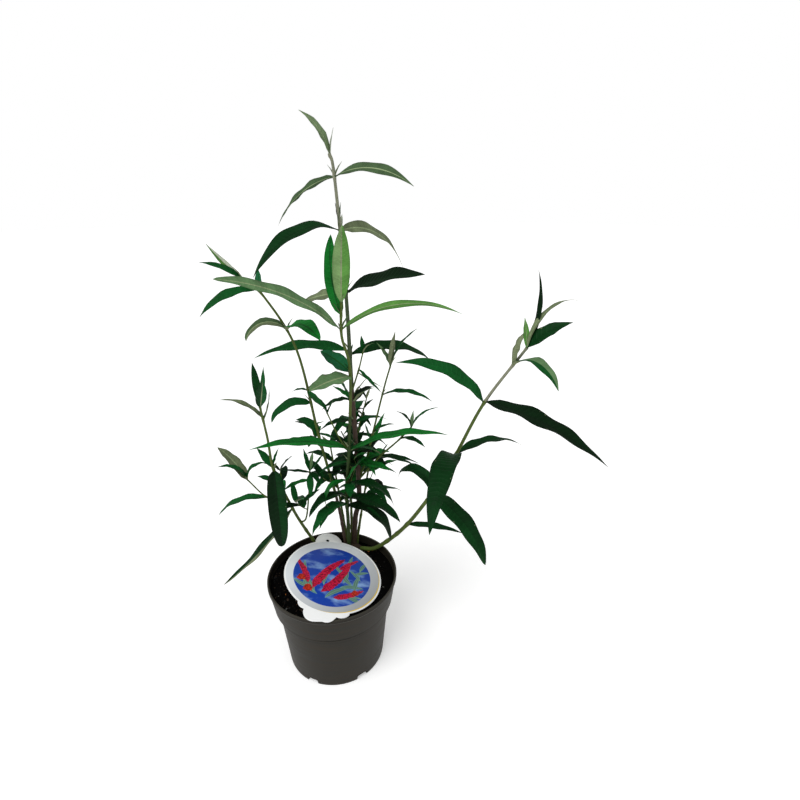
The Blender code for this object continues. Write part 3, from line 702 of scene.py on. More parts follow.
def leaf_finish(name, colour, felt=0.0):
    """One leaf tint: veined and slightly puffed above, or felted beneath."""
    finish, tree, shader = principled(name, {"Specular IOR Level": LEAF_GLOSS * (1 - felt) + FELT_GLOSS})
    calc = partial(maths, tree)
    blade = use_group(tree, "blade_veins")
    mottle = mottled(tree, colour, *LEAF_MOTTLE)
    paler = [min(1.0, channel * VEIN_LIGHT + VEIN_LIFT) for channel in colour]
    tone = blend(tree, calc("MULTIPLY", blade["Veins"], VEIN_SHOW), mottle["Colour"], paler)
    level = calc("MULTIPLY_ADD", blade["Chance"], CHANCE_SWING, LEAF_LEVEL)
    # Painted shade: one half of the leaf is lighter than the other, and its edges are darker than its middle
    level = calc("MULTIPLY_ADD", blade["Half"], HALF_SHADE_SWING, level)
    level = calc("MULTIPLY_ADD", blade["Edge"], EDGE_SHADE, level)
    rough = calc("MULTIPLY_ADD", mottle["Patch"], PATCH_ROUGHNESS, LEAF_ROUGHNESS + felt * FELT_ROUGHNESS)
    height = calc("MULTIPLY_ADD", mottle["Height"], LEAF_GRAIN, blade["Height"])
    connect(tree, shader, {
        "Base Color": scaled(tree, tone, level),
        "Roughness": rough,
        "Normal": bump(tree, height, *LEAF_BUMP),
    })
    return finish


# Finishes of bark
BARK_MOTTLE = (90.0, 0.4)
BARK_RELIEF = 0.0008
BARK_BUMP = 0.3
CRACK_BUMP = 0.5
CRACK_SHADE = 0.35
CRACK_SHOW = 2.0
BARK_GLOSS = 0.2
BARK_ROUGHNESS = 0.5
BARK_ROUGHNESS_SWING = 0.3


def bark_finish(name, colour, cracked):
    """One stem tint with fine lengthwise cracks."""
    finish, tree, shader = principled(name, {"Specular IOR Level": BARK_GLOSS})
    calc = partial(maths, tree)
    bark = use_group(tree, "bark_cracks")
    mottle = mottled(tree, colour, *BARK_MOTTLE)
    darker = [channel * CRACK_SHADE for channel in colour]
    cracks = calc("MULTIPLY", calc("SUBTRACT", 0.5, bark["Cracks"]), CRACK_SHOW * cracked)
    cracks = add_node(tree, "ShaderNodeClamp", {0: cracks}).outputs[0]
    connect(tree, shader, {
        "Base Color": blend(tree, cracks, mottle["Colour"], darker),
        "Roughness": calc("MULTIPLY_ADD", bark["Height"], BARK_ROUGHNESS_SWING, BARK_ROUGHNESS),
        "Normal": bump(tree, bark["Height"], BARK_BUMP + CRACK_BUMP * cracked, BARK_RELIEF),
    })
    return finish


# Mesh helpers


def direction(heading, rise):
    """The unit vector at a heading from +X and an angle above level, both in degrees."""
    turn, tilt = math.radians(heading), math.radians(rise)
    return Vector((math.cos(tilt) * math.cos(turn), math.cos(tilt) * math.sin(turn), math.sin(tilt)))


def smooth_path(knots):
    """Points about one spacing apart on a smooth curve through the knots, in metres."""
    points = [Vector(knot) * MM for knot in knots]
    points = [points[0] * 2 - points[1], *points, points[-1] * 2 - points[-2]]
    path = []
    for before, start, end, after in zip(points, points[1:], points[2:], points[3:]):
        steps = max(1, round((end - start).length / STEM_SPACING))
        for step in range(steps):
            t = step / steps
            square = 2 * before - 5 * start + 4 * end - after
            cube = 3 * start - before - 3 * end + after
            path.append((2 * start + (end - before) * t + square * t**2 + cube * t**3) / 2)
    path.append(points[-2])
    return path


def at_height(path, height):
    """The point where a rising path passes a height."""
    for low, high in zip(path, path[1:]):
        if low.z <= height <= high.z:
            return low.lerp(high, (height - low.z) / (high.z - low.z))
    return path[-1].copy()


def rule_leaves(path, pairs):
    """Leaves in pairs up a path, each pair a quarter turn on, and an upright pair at the tip."""
    chance = random.Random(pairs.seed)
    tint = random.Random(pairs.seed + 1)
    leaves = []
    for pair in range(pairs.count + 1):
        fraction = (pair + 1) / (pairs.count + 1)
        node = (path[0].z + (path[-1].z - path[0].z) * fraction) / MM
        for side in (0, 180):
            turn = chance.uniform(-PAIR_TURN, PAIR_TURN)
            heading = pairs.heading + pair * QUARTER_TURN + side + turn
            length = pairs.length * (1 - PAIR_TAPER * fraction) * chance.uniform(*PAIR_LENGTHS)
            rise, droop = chance.uniform(*PAIR_RISES), chance.uniform(*PAIR_DROOPS)
            if pair == pairs.count:
                rise, droop = rise + TIP_PAIR_RISE, droop * TIP_PAIR_DROOP
            width = length * PAIR_SLENDERNESS
            leaves.append(Leaf(node, heading, length, width, rise, droop, 0, tint.choice(RULE_TINTS)))
    return leaves


PIECE_SMOOTH = 50
# The blade attribute of what isn't a leaf
NO_BLADE = (0.0, 0.0, 0.5)


class Sheets:
    """Vertices, faces, face slots and blade places of many small shapes joined in one mesh."""

    def __init__(self, slots, shapes):
        self.slots = list(slots)
        self.vertices, self.faces, self.marks, self.places = [], [], [], []
        for shape in shapes:
            self.add(*shape)

    def add(self, vertices, faces, marks, places):
        """Adds one shape: vertices, faces, a slot name for each face, a place for each vertex."""
        start = len(self.vertices)
        self.vertices += vertices
        self.faces += [tuple(corner + start for corner in face) for face in faces]
        self.marks += [self.slots.index(mark) for mark in marks]
        self.places += places

    def build(self, name, finishes):
        """The joined piece, smooth shaded, with one material slot for each tint."""
        mesh = bpy.data.meshes.new(name)
        mesh.from_pydata([tuple(vertex) for vertex in self.vertices], [], self.faces)
        for slot in self.slots:
            mesh.materials.append(finishes[slot])
        mesh.polygons.foreach_set("material_index", self.marks)
        places = mesh.attributes.new("blade", "FLOAT_VECTOR", "POINT")
        places.data.foreach_set("vector", np.array(self.places, dtype=np.float32).ravel())
        mesh.shade_smooth()
        mesh.set_sharp_from_angle(angle=math.radians(PIECE_SMOOTH))
        piece = bpy.data.objects.new(name, mesh)
        bpy.context.scene.collection.objects.link(piece)
        return piece


def ring_faces(rings, sides, start=0):
    """The faces between rings of vertices that follow one another."""
    faces = []
    for ring in range(rings - 1):
        for corner in range(sides):
            low = start + ring * sides + corner
            beside = start + ring * sides + (corner + 1) % sides
            faces.append((low, beside, beside + sides, low + sides))
    return faces


def turn_outwards(piece):
    """Turns all faces of closed shells outwards."""
    shell = bmesh.new()
    shell.from_mesh(piece.data)
    bmesh.ops.recalc_face_normals(shell, faces=shell.faces)
    shell.to_mesh(piece.data)
    shell.free()


def deselect_all():
    """Leaves object mode with nothing selected."""
    if bpy.context.object and bpy.context.object.mode != "OBJECT":
        bpy.ops.object.mode_set(mode="OBJECT")
    bpy.ops.object.select_all(action="DESELECT")


def apply_place(piece):
    """Puts a piece's place into its mesh."""
    deselect_all()
    piece.select_set(True)
    bpy.context.view_layer.objects.active = piece
    bpy.ops.object.transform_apply(location=True, rotation=True, scale=True)


def apply_modifier(piece, name):
    """Applies one modifier to a piece's mesh."""
    deselect_all()
    bpy.context.view_layer.objects.active = piece
    bpy.ops.object.modifier_apply(modifier=name)


def cut_away(piece, tool, name):
    """Cuts a tool's shape out of a piece and removes the tool."""
    modifier = piece.modifiers.new(name, "BOOLEAN")
    modifier.operation = "DIFFERENCE"
    modifier.object = tool
    apply_modifier(piece, name)
    bpy.data.objects.remove(tool)


def finish_piece(piece, slot, *replaced):
    """Rides a finished piece on the plant and hides the solids that it stands for. Its slot is not used."""
    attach(piece, "root")
    if replaced:
        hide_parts(*replaced)


# Leaf and stem shapes

TINTS = (
    "darkest", "deep", "green", "bright", "light", "pale", "sage", "dull", "bluish", "felted", "olive", "tip",
)
RIB_TINTS = {"darkest": "darkest", "deep": "deep", "green": "green", "bright": "rib", "bluish": "rib"}
LEAF_SLOTS = (*TINTS, "rib", "pale_rib", "under", "under_rib")
BARKS = ("old_bark", "red_bark", "grey_bark", "olive_bark", "green_bark", "pale_bark")

# Where the points of one station lie across a leaf, from edge to edge
ACROSS = (-1.0, -0.7, -0.4, -0.09, 0.09, 0.4, 0.7, 1.0)
RIB_REACH = 0.1
LEAST_STATIONS = 9
MOST_STATIONS = 26
STATION_LENGTH = 5
LEAF_THICKNESS = 0.0005
FOOT_THICKNESS = 1.6
MIDDLE_THICKNESS = 1.1
EDGE_THINNING = 0.75
GROOVE = 0.9
KEEL = 1.4
PETIOLE_SHARE = 0.03
PETIOLE_WIDTH = 0.0009
PETIOLE_TAPER = 0.8
WIDEST_SKEW = 0.74
FULLNESS = 0.6
BLUNT_SHARE = 0.45
TIP_DRAW = 0.45
TIP_CROWDING = 0.1
ROLL_START = 12
SWAY = 5
TWIST = 10
WAVES = (2.2, 3.6)
WAVE_HEIGHT = 0.13
EDGE_CURL = 0.1
JOINT_REACH = 0.0025


def half_width(fraction, width, blunt):
    """The half width of a stalked, lance-shaped blade, its tip drawn out or blunt."""
    blade = max(0.0, (fraction - PETIOLE_SHARE) / (1 - PETIOLE_SHARE))
    power = FULLNESS * (1 - BLUNT_SHARE * blunt) + TIP_DRAW * (1 - blunt) * blade
    shape = max(0.0, math.sin(math.pi * blade**WIDEST_SKEW)) ** power
    return max(PETIOLE_WIDTH * (1 - PETIOLE_TAPER * fraction), width / 2 * shape)


def leaf_marks(tint):
    """The slots of the faces round a leaf: its upper side, one edge, its underside, the other edge."""
    upper, lower = (side.split("/") for side in (tint + ":under").split(":")[:2])
    half = len(ACROSS) // 2 - 1
    over = [upper[0]] * half + [RIB_TINTS.get(upper[0], "pale_rib")] + [upper[-1]] * (half + 1)
    return over + [lower[0]] * half + ["under_rib"] + [lower[-1]] * half + [upper[0]]


def leaf_shape(root, leaf, chance):
    """A closed thin leaf: folded along its midrib, waved at its edges, arching as its source does."""
    stations = max(LEAST_STATIONS, min(MOST_STATIONS, round(leaf.length / STATION_LENGTH)))
    length = leaf.length * MM
    sway = chance.uniform(-SWAY, SWAY)
    twist = chance.uniform(-TWIST, TWIST)
    waves = chance.uniform(*WAVES)
    phases = (chance.uniform(0, math.tau), chance.uniform(0, math.tau))
    luck = chance.random()
    vertices, places = [], []
    point, last = root.copy(), 0.0
    for station in range(stations + 1):
        share = station / stations
        fraction = share + TIP_CROWDING * math.sin(math.pi * share)
        middle = leaf.rise - leaf.droop * (fraction + last) / 2
        point = point + direction(leaf.heading, middle) * length * (fraction - last)
        last = fraction
        heading = leaf.heading + sway * math.sin(math.pi * fraction)
        rise = leaf.rise - leaf.droop * fraction
        roll = math.radians(leaf.roll * min(1.0, ROLL_START * fraction) + twist * fraction)
        level = direction(heading + QUARTER_TURN, 0)
        above = direction(heading, rise + QUARTER_TURN)
        up = above * math.cos(roll) - level * math.sin(roll)
        side = level * math.cos(roll) + above * math.sin(roll)
        spread = half_width(fraction, leaf.width * MM, leaf.blunt)
        depth = LEAF_THICKNESS / 2 * (FOOT_THICKNESS - fraction)
        for layer in (1, -1):
            for across in ACROSS[::layer]:
                wave = math.sin(math.tau * waves * fraction + phases[across > 0])
                lift = spread * abs(across) * math.tan(math.radians(LEAF_FOLD))
                lift += spread * across**2 * (WAVE_HEIGHT * wave - EDGE_CURL)
                thick = depth * layer * (MIDDLE_THICKNESS - EDGE_THINNING * abs(across))
                if abs(across) < RIB_REACH:
                    thick -= depth * (GROOVE if layer > 0 else KEEL) * (1 - fraction)
                vertices.append(point + side * (across * spread) + up * (lift + thick))
                places.append((across, fraction * leaf.length, luck))
    ring = 2 * len(ACROSS)
    around = leaf_marks(leaf.tint)
    faces = ring_faces(stations + 1, ring)
    faces += [tuple(range(ring - 1, -1, -1)), tuple(range(stations * ring, (stations + 1) * ring))]
    return vertices, faces, around * stations + ["under", around[0]], places


def stem_shape(path, radii, sides, barks, nodes=(), swell=0.0):
    """A closed tapering stem with swollen joints where its leaves stand."""
    vertices = []
    across = (path[1] - path[0]).orthogonal()
    last = len(path) - 1
    for index, point in enumerate(path):
        ahead = (path[min(index + 1, last)] - path[max(index - 1, 0)]).normalized()
        across = (across - ahead * across.dot(ahead)).normalized()
        other = ahead.cross(across)
        near = min((abs(point.z - node * MM) for node in nodes), default=1.0)
        joint = 1 + swell * math.exp(-((near / JOINT_REACH) ** 2))
        radius = (radii[0] + (radii[1] - radii[0]) * index / last) * MM * joint
        for corner in range(sides):
            turn = math.tau * corner / sides
            vertices.append(point + (across * math.cos(turn) + other * math.sin(turn)) * radius)
    faces = ring_faces(len(path), sides)
    marks = []
    for index in range(last):
        marks += [barks[min(len(barks) - 1, int(index / last * len(barks)))]] * sides
    count = len(vertices)
    faces += [tuple(range(sides - 1, -1, -1)), tuple(range(count - sides, count))]
    marks += [barks[0], barks[-1]]
    return vertices, faces, marks, [NO_BLADE] * count


class Space:
    """What already stands in the air, so that a new twig or leaf keeps clear of other masses."""

    def __init__(self):
        self.pieces = []

    def add(self, owner, shape):
        """Takes the room of a shape for the mass that owns it."""
        points = np.array(shape[0])
        tree = BVHTree.FromPolygons(shape[0], shape[1])
        self.pieces.append((owner, points.min(0), points.max(0), tree))

    def is_free(self, owner, shape):
        """Whether a shape touches nothing that another mass owns."""
        points = np.array(shape[0])
        low, high = points.min(0), points.max(0)
        tree = BVHTree.FromPolygons(shape[0], shape[1])
        for other, other_low, other_high, other_tree in self.pieces:
            apart = other == owner or (low > other_high).any() or (high < other_low).any()
            if not apart and tree.overlap(other_tree):
                return False
        return True

    def place(self, owner, shape, shapes):
        """Adds a shape to its mass's list if there is room for it, and says whether there was."""
        free = self.is_free(owner, shape)
        if free:
            self.add(owner, shape)
            shapes.append(shape)
        return free


# Pot, compost and label

POT_SIDES = 160
POT_SMOOTH = 35
LIP_EDGE = 0.0012
RING_SPACING = 0.0036
RING_MARGIN = 0.002
STEP_WIDTH = COLLAR_RADIUS - STEP_RADIUS
STEP_SHARES = (0.0, 0.15, 0.3, 0.45, 0.6, 0.75, 0.9, 1.0)
INNER_STEP_TOP = STEP_HEIGHT + STEP_RISE + WALL / 2
LIP_SLOPE = 0.0012
LIP_FOOT = POT_HEIGHT - LIP_DEPTH - LIP_SLOPE
# The foot's rounding, in from the base's radius and up from the ground
FOOT_OUTLINE = ((0.0012, 0.0), (0.0003, 0.0004), (0.0, 0.0014))
# The lip's outline, in from the rim's radius and down from its top
LIP_OUTLINE = (
    (0.0004, LIP_DEPTH), (0.0, LIP_DEPTH - 0.0005), (0.0, 0.0009), (0.0003, 0.0002), (0.0008, 0.0),
    (LIP - 0.0006, 0.0), (LIP, 0.0007), (LIP, LIP),
)
NOTCH_ROUNDING = 0.003
NOTCH_SEGMENTS = 5
# How far the notch's tool starts inside the foot
NOTCH_START = 4 * WALL
# An edge of the tool lies along the notch if the cosine between them is over this
ALONG_NOTCH = 0.9


def ringed_wall(foot, head, heights, ring_depth):
    """Faint rings up a wall that leans from one radius and height to another."""
    points = []
    for height in heights:
        share = (height - foot[1]) / (head[1] - foot[1])
        radius = foot[0] + (head[0] - foot[0]) * share
        points += [(radius, height), (radius - ring_depth, height + RING_SPACING / 2)]
    return points


def wall_profile(ring_depth):
    """Outer radii and heights from the foot to the rim, then the inner wall down to the floor."""
    profile = [(BASE_RADIUS - inward, height) for inward, height in FOOT_OUTLINE]
    rings = int((STEP_HEIGHT - 2 * RING_MARGIN) / RING_SPACING)
    heights = [RING_MARGIN + ring * RING_SPACING for ring in range(1, rings)]
    profile += ringed_wall((BASE_RADIUS, 0.0), (STEP_RADIUS, STEP_HEIGHT), heights, ring_depth)
    profile += [
        (STEP_RADIUS + STEP_WIDTH * share, STEP_HEIGHT + STEP_RISE * share**2 * (3 - 2 * share))
        for share in STEP_SHARES
    ]
    wall_top = (RIM_RADIUS - LIP / 2, LIP_FOOT)
    rings = int((LIP_FOOT - STEP_HEIGHT - STEP_RISE) / RING_SPACING)
    heights = [STEP_HEIGHT + STEP_RISE + ring * RING_SPACING for ring in range(rings)]
    profile += ringed_wall((COLLAR_RADIUS, STEP_HEIGHT), wall_top, heights, ring_depth)
    profile.append(wall_top)
    profile += [(RIM_RADIUS - inward, POT_HEIGHT - down) for inward, down in LIP_OUTLINE]
    profile += [
        (COLLAR_RADIUS - WALL, INNER_STEP_TOP),
        (STEP_RADIUS - WALL, STEP_HEIGHT + WALL / 2),
        (BASE_RADIUS - WALL, FLOOR),
    ]
    return profile


# Finish of the pot. A noise has a scale, a detail and a roughness, and a ramp its low, its high and its top.
PLASTIC_MOTTLE = (22.0, 0.22, 900.0)
PLASTIC_BUMP = (0.25, 0.0003)
STREAK_STRETCH = (1.0, 1.0, 14.0)
STREAK_NOISE = (18.0, 5.0)
# Painted reflection: the colour gains of the brownish sheen and where its streaks lie
BROWN_SHEEN = (1.75, 1.45, 1.25)
SHEEN_RAMP = (0.42, 0.72, 0.75)
SCUFF_NOISE = (140.0, 6.0, 0.7)
SCUFF_RAMP = (0.62, 0.75, 0.4)
# Painted highlight along the top of the lip, and the lighter colour it shares with the real scuffs
LIP_HIGHLIGHT_RAMP = (POT_HEIGHT - LIP_EDGE, POT_HEIGHT, 0.75)
DUST_AND_HIGHLIGHT_GAIN = 2.6
DUST_AND_HIGHLIGHT_LIFT = 0.01
PLASTIC_ROUGHNESS = 0.38
STREAK_ROUGHNESS = 0.25
PLASTIC_GLOSS = 0.16


def pot_finish(colour):
    """Dull moulded plastic with painted brownish reflections in streaks, faint scuffs and a painted highlight
    along the top of its lip.
    """
    finish, tree, shader = principled("pot_plastic_finish", {"Specular IOR Level": PLASTIC_GLOSS})
    mottle = mottled(tree, colour, *PLASTIC_MOTTLE)
    place = object_place(tree)
    flat = mapped(tree, place, {"Scale": STREAK_STRETCH})
    streaks = noise(tree, flat, *STREAK_NOISE)
    # Painted reflection: brownish streaks stand in for the sheen on the plastic
    brown = [channel * gain for channel, gain in zip(colour, BROWN_SHEEN)]
    tone = blend(tree, ramp(tree, streaks, *SHEEN_RAMP), mottle["Colour"], brown)
    scuffs = ramp(tree, noise(tree, flat, *SCUFF_NOISE), *SCUFF_RAMP)
    # Painted highlight: the top of the lip is lighter where light catches it; the scuffs are real wear
    lip_highlight = ramp(tree, axes(tree, place)[2], *LIP_HIGHLIGHT_RAMP)
    scuffs_and_highlight = maths(tree, "MAXIMUM", scuffs, lip_highlight)
    dust_and_highlight = [channel * DUST_AND_HIGHLIGHT_GAIN + DUST_AND_HIGHLIGHT_LIFT for channel in colour]
    connect(tree, shader, {
        "Base Color": blend(tree, scuffs_and_highlight, tone, dust_and_highlight),
        "Roughness": maths(tree, "MULTIPLY_ADD", streaks, STREAK_ROUGHNESS, PLASTIC_ROUGHNESS),
        "Normal": bump(tree, mottle["Height"], *PLASTIC_BUMP),
    })
    return finish


class POTTED_OT_pot(bpy.types.Operator):
    """Turns the pot up from its foot, ring by ring, and cuts the drainage notches"""

    bl_idname = "potted_bush.pot"
    bl_label = "Pot"

    def execute(self, context):
        settings = context.scene.potted_bush_pot
        profile = wall_profile(settings.ring_depth)
        deselect_all()
        bpy.ops.mesh.primitive_circle_add(
            vertices=POT_SIDES, radius=profile[0][0], fill_type="NGON", location=(0, 0, 0)
        )
        pot = context.object
        pot.name = pot.data.name = "nursery_pot"
        bpy.ops.object.mode_set(mode="EDIT")
        bpy.ops.mesh.select_all(action="SELECT")
        for (radius, height), (wider, higher) in zip(profile, profile[1:]):
            bpy.ops.mesh.extrude_region_move(TRANSFORM_OT_translate={"value": (0, 0, 0)})
            bpy.ops.transform.translate(value=(0, 0, higher - height))
            factor = wider / radius
            bpy.ops.transform.resize(value=(factor, factor, 1), center_override=(0, 0, higher))
        bpy.ops.mesh.select_all(action="SELECT")
        bpy.ops.mesh.normals_make_consistent(inside=False)
        bpy.ops.object.mode_set(mode="OBJECT")
        for notch in range(NOTCHES):
            self.cut_notch(context, pot, notch)
        deselect_all()
        pot.select_set(True)
        context.view_layer.objects.active = pot
        bpy.ops.object.shade_smooth_by_angle(angle=math.radians(POT_SMOOTH))
        pot.data.materials.clear()
        pot.data.materials.append(pot_finish(tuple(settings.plastic)))
        finish_piece(pot, "pot_plastic", "pot")
        return {"FINISHED"}

    def cut_notch(self, context, pot, notch):
        """Cuts one arched notch out of the foot."""
        turn = math.radians(NOTCH_HEADING) + math.tau * notch / NOTCHES
        inner = BASE_RADIUS - NOTCH_START
        reach = COLLAR_RADIUS - inner
        middle = inner + reach / 2
        deselect_all()
        bpy.ops.mesh.primitive_cube_add(
            size=1, location=(middle * math.cos(turn), middle * math.sin(turn), 0), rotation=(0, 0, turn)
        )
        tool = context.object
        tool.scale = (reach, NOTCH_WIDTH, 2 * NOTCH_HEIGHT)
        apply_place(tool)
        bpy.ops.object.mode_set(mode="EDIT")
        mesh = bmesh.from_edit_mesh(tool.data)
        outward = Vector((math.cos(turn), math.sin(turn), 0))
        for edge in mesh.edges:
            along = (edge.verts[1].co - edge.verts[0].co).normalized()
            high = all(vertex.co.z > 0 for vertex in edge.verts)
            edge.select_set(high and abs(along.dot(outward)) > ALONG_NOTCH)
        bmesh.update_edit_mesh(tool.data)
        bpy.ops.mesh.bevel(offset=NOTCH_ROUNDING, segments=NOTCH_SEGMENTS)
        bpy.ops.object.mode_set(mode="OBJECT")
        cut_away(pot, tool, "notch")


COMPOST_RINGS = 56
COMPOST_SIDES = 150
COMPOST_SINK = 0.0012
COMPOST_SWELL = 0.0006
COMPOST_GRIT = 0.0005
# The fill's clearance from the pot
COMPOST_GAP = 0.0003
COMPOST_MOTTLE = (160.0, 0.9, 700.0)
COMPOST_BUMP = (1.0, 0.001)
COMPOST_ROUGHNESS = 0.85
COMPOST_GLOSS = 0.03
SPECK_SCALE = 420.0
SPECK_RAMP = (0.12, 0.04, 0.5)
SPECK_LIGHT = 14
# The fill's outline under its top, against the pot's inner wall
COMPOST_FLANK = (
    (COLLAR_RADIUS - WALL, STEP_HEIGHT + WALL),
    (STEP_RADIUS - WALL, STEP_HEIGHT - WALL),
    (BASE_RADIUS - WALL, FLOOR + COMPOST_GAP),
)

# Loose crumbs: how often each kind comes, the colours of those that aren't black, and their sizes
CRUMB_SEED = 21
CRUMB_SIDES = 6
CRUMB_SHARES = {"crumb_black": 70, "crumb_brown": 24, "crumb_grey": 6, "crumb_amber": 0.6}
CRUMB_TONES = {
    "crumb_brown": (0.030, 0.017, 0.009),
    "crumb_grey": (0.11, 0.11, 0.10),
    "crumb_amber": (0.36, 0.11, 0.018),
}
CRUMB_CRACKS = 0.3
CRUMB_TILT = 0.5
CRUMB_STRETCH = ((0.6, 1.6), (0.5, 1.0), (0.35, 0.7))
# A crumb's two rings have a level and a reach, and it ends in a point at its foot and one at its top
CRUMB_RINGS = ((-0.6, 0.8), (0.35, 0.9))
CRUMB_POINTS = ((0, 0, -1), (0.1, 0, 1))
CRUMB_WOBBLE = (0.75, 1.2)
CRUMB_LEAST = 0.0005
CRUMB_SPREAD = 0.0016
CRUMB_MARGIN = 0.003
CRUMB_CLEARANCE = 0.0002
CHIP_PLACE = (-0.052, 0.052)
CHIP_SIZE = 0.0034
CHIP_LIFT = 0.0012


def compost_height(x, y):
    """The uneven top of the compost, kept below the label: broad swells, and grit of a few millimetres.

    Its waves are in radians for each metre.
    """
    swell = math.sin(x * 90 + 1.3) * math.cos(y * 75 - 0.4) + 0.6 * math.sin(x * 210 + y * 160)
    grit = math.sin(x * 900 + 3 * math.sin(y * 700)) * math.cos(y * 820 + 2 * math.sin(x * 640))
    return COMPOST_TOP - COMPOST_SINK + COMPOST_SWELL * swell + COMPOST_GRIT * grit


def inner_radius(height):
    """The pot's inner radius at a height above its step."""
    share = (height - INNER_STEP_TOP) / (POT_HEIGHT - LIP - INNER_STEP_TOP)
    return COLLAR_RADIUS - WALL + (RIM_RADIUS - LIP - COLLAR_RADIUS + WALL) * share


def compost_finish(colour):
    """Damp, fibrous black compost."""
    finish, tree, shader = principled("compost_finish", {
        "Roughness": COMPOST_ROUGHNESS,
        "Specular IOR Level": COMPOST_GLOSS,
    })
    mottle = mottled(tree, colour, *COMPOST_MOTTLE)
    cells = {"Vector": object_place(tree), "Scale": SPECK_SCALE}
    specks = add_node(tree, "ShaderNodeTexVoronoi", cells).outputs["Distance"]
    lighter = [channel * SPECK_LIGHT for channel in colour]
    connect(tree, shader, {
        "Base Color": blend(tree, ramp(tree, specks, *SPECK_RAMP), mottle["Colour"], lighter),
        "Normal": bump(tree, mottle["Height"], *COMPOST_BUMP),
    })
    return finish


def crumb_shape(centre, size, chance, tint):
    """A rough lump with a few faces, squashed and turned at random."""
    turn = Matrix.Rotation(chance.uniform(0, math.tau), 3, "Z")
    turn = turn @ Matrix.Rotation(chance.uniform(-CRUMB_TILT, CRUMB_TILT), 3, "X")
    stretch = Vector([chance.uniform(*spread) for spread in CRUMB_STRETCH])
    corners = []
    for level, reach in CRUMB_RINGS:
        for corner in range(CRUMB_SIDES):
            angle = math.tau * (corner + 0.5 * (level > 0)) / CRUMB_SIDES
            wobble = chance.uniform(*CRUMB_WOBBLE)
            corners.append((math.cos(angle) * reach * wobble, math.sin(angle) * reach * wobble, level))
    corners += CRUMB_POINTS
    vertices = [centre + turn @ (Vector(corner) * stretch) * size for corner in corners]
    faces = ring_faces(2, CRUMB_SIDES)
    foot, top = 2 * CRUMB_SIDES, 2 * CRUMB_SIDES + 1
    for corner in range(CRUMB_SIDES):
        beside = (corner + 1) % CRUMB_SIDES
        faces += [(foot, beside, corner), (top, CRUMB_SIDES + corner, CRUMB_SIDES + beside)]
    return vertices, faces, [tint] * len(faces), [NO_BLADE] * len(vertices)


def label_underside(x, y):
    """The label's lower face above a place."""
    across, along = x - LABEL_CENTRE[0], y - LABEL_CENTRE[1]
    back = along * math.tan(math.radians(LABEL_LEAN_BACK))
    side = across * math.tan(math.radians(LABEL_LEAN_SIDE))
    return LABEL_CENTRE[2] + (back - side)


class POTTED_OT_compost(bpy.types.Operator):
    """Fills the pot with uneven compost and scatters crumbs and chips of bark on it"""

    bl_idname = "potted_bush.compost"
    bl_label = "Compost"

    def execute(self, context):
        settings = context.scene.potted_bush_pot
        heap = Sheets(["compost"], [self.fill_shape()])
        piece = heap.build("compost_surface", {"compost": compost_finish(tuple(settings.compost))})
        turn_outwards(piece)
        finish_piece(piece, "compost", "compost")
        self.scatter(settings)
        return {"FINISHED"}

    def fill_shape(self):
        """The closed fill: its uneven top in rings, then its flank and its foot."""
        outer = inner_radius(COMPOST_TOP) - COMPOST_GAP
        turns = [math.tau * side / COMPOST_SIDES for side in range(COMPOST_SIDES)]
        vertices = [Vector((0, 0, compost_height(0, 0)))]
        for ring in range(1, COMPOST_RINGS + 1):
            radius = outer * ring / COMPOST_RINGS
            for turn in turns:
                x, y = radius * math.cos(turn), radius * math.sin(turn)
                vertices.append(Vector((x, y, compost_height(x, y))))
        for radius, height in COMPOST_FLANK:
            reach = radius - COMPOST_GAP
            vertices += [Vector((reach * math.cos(turn), reach * math.sin(turn), height)) for turn in turns]
        vertices.append(Vector((0, 0, FLOOR + COMPOST_GAP)))
        rings = COMPOST_RINGS + len(COMPOST_FLANK)
        faces = [tuple(reversed(face)) for face in ring_faces(rings, COMPOST_SIDES, 1)]
        last = len(vertices) - 1
        for side in range(COMPOST_SIDES):
            beside = (side + 1) % COMPOST_SIDES
            faces.append((0, 1 + side, 1 + beside))
            faces.append((last, last - COMPOST_SIDES + beside, last - COMPOST_SIDES + side))
        return vertices, faces, ["compost"] * len(faces), [NO_BLADE] * len(vertices)

    def scatter(self, settings):
        """Loose crumbs, mostly small and black, none through the label, and one large amber chip."""
        tones = {"crumb_black": tuple(settings.compost), **CRUMB_TONES}
        finishes = {name: bark_finish(name, tone, CRUMB_CRACKS) for name, tone in tones.items()}
        chance = random.Random(CRUMB_SEED)
        crumbs = []
        outer = inner_radius(COMPOST_TOP) - CRUMB_MARGIN
        for _ in range(settings.crumbs):
            radius = outer * math.sqrt(chance.random())
            turn = chance.uniform(0, math.tau)
            x, y = radius * math.cos(turn), radius * math.sin(turn)
            size = CRUMB_LEAST + CRUMB_SPREAD * chance.random() ** 3
            tint = chance.choices(tuple(CRUMB_SHARES), tuple(CRUMB_SHARES.values()))[0]
            centre = Vector((x, y, compost_height(x, y) + size / 4))
            if centre.z + size <= label_underside(x, y) - CRUMB_CLEARANCE:
                crumbs.append(crumb_shape(centre, size, chance, tint))
        chip = Vector((*CHIP_PLACE, compost_height(*CHIP_PLACE) + CHIP_LIFT))
        crumbs.append(crumb_shape(chip, CHIP_SIZE, chance, "crumb_amber"))
        piece = Sheets(CRUMB_SHARES, crumbs).build("compost_crumbs", finishes)
        turn_outwards(piece)
        finish_piece(piece, "compost")


LABEL_SIDES = 360
LABEL_SMOOTH = 30
HOLE_SIDES = 40
EDGE_ROUNDING = 0.00018
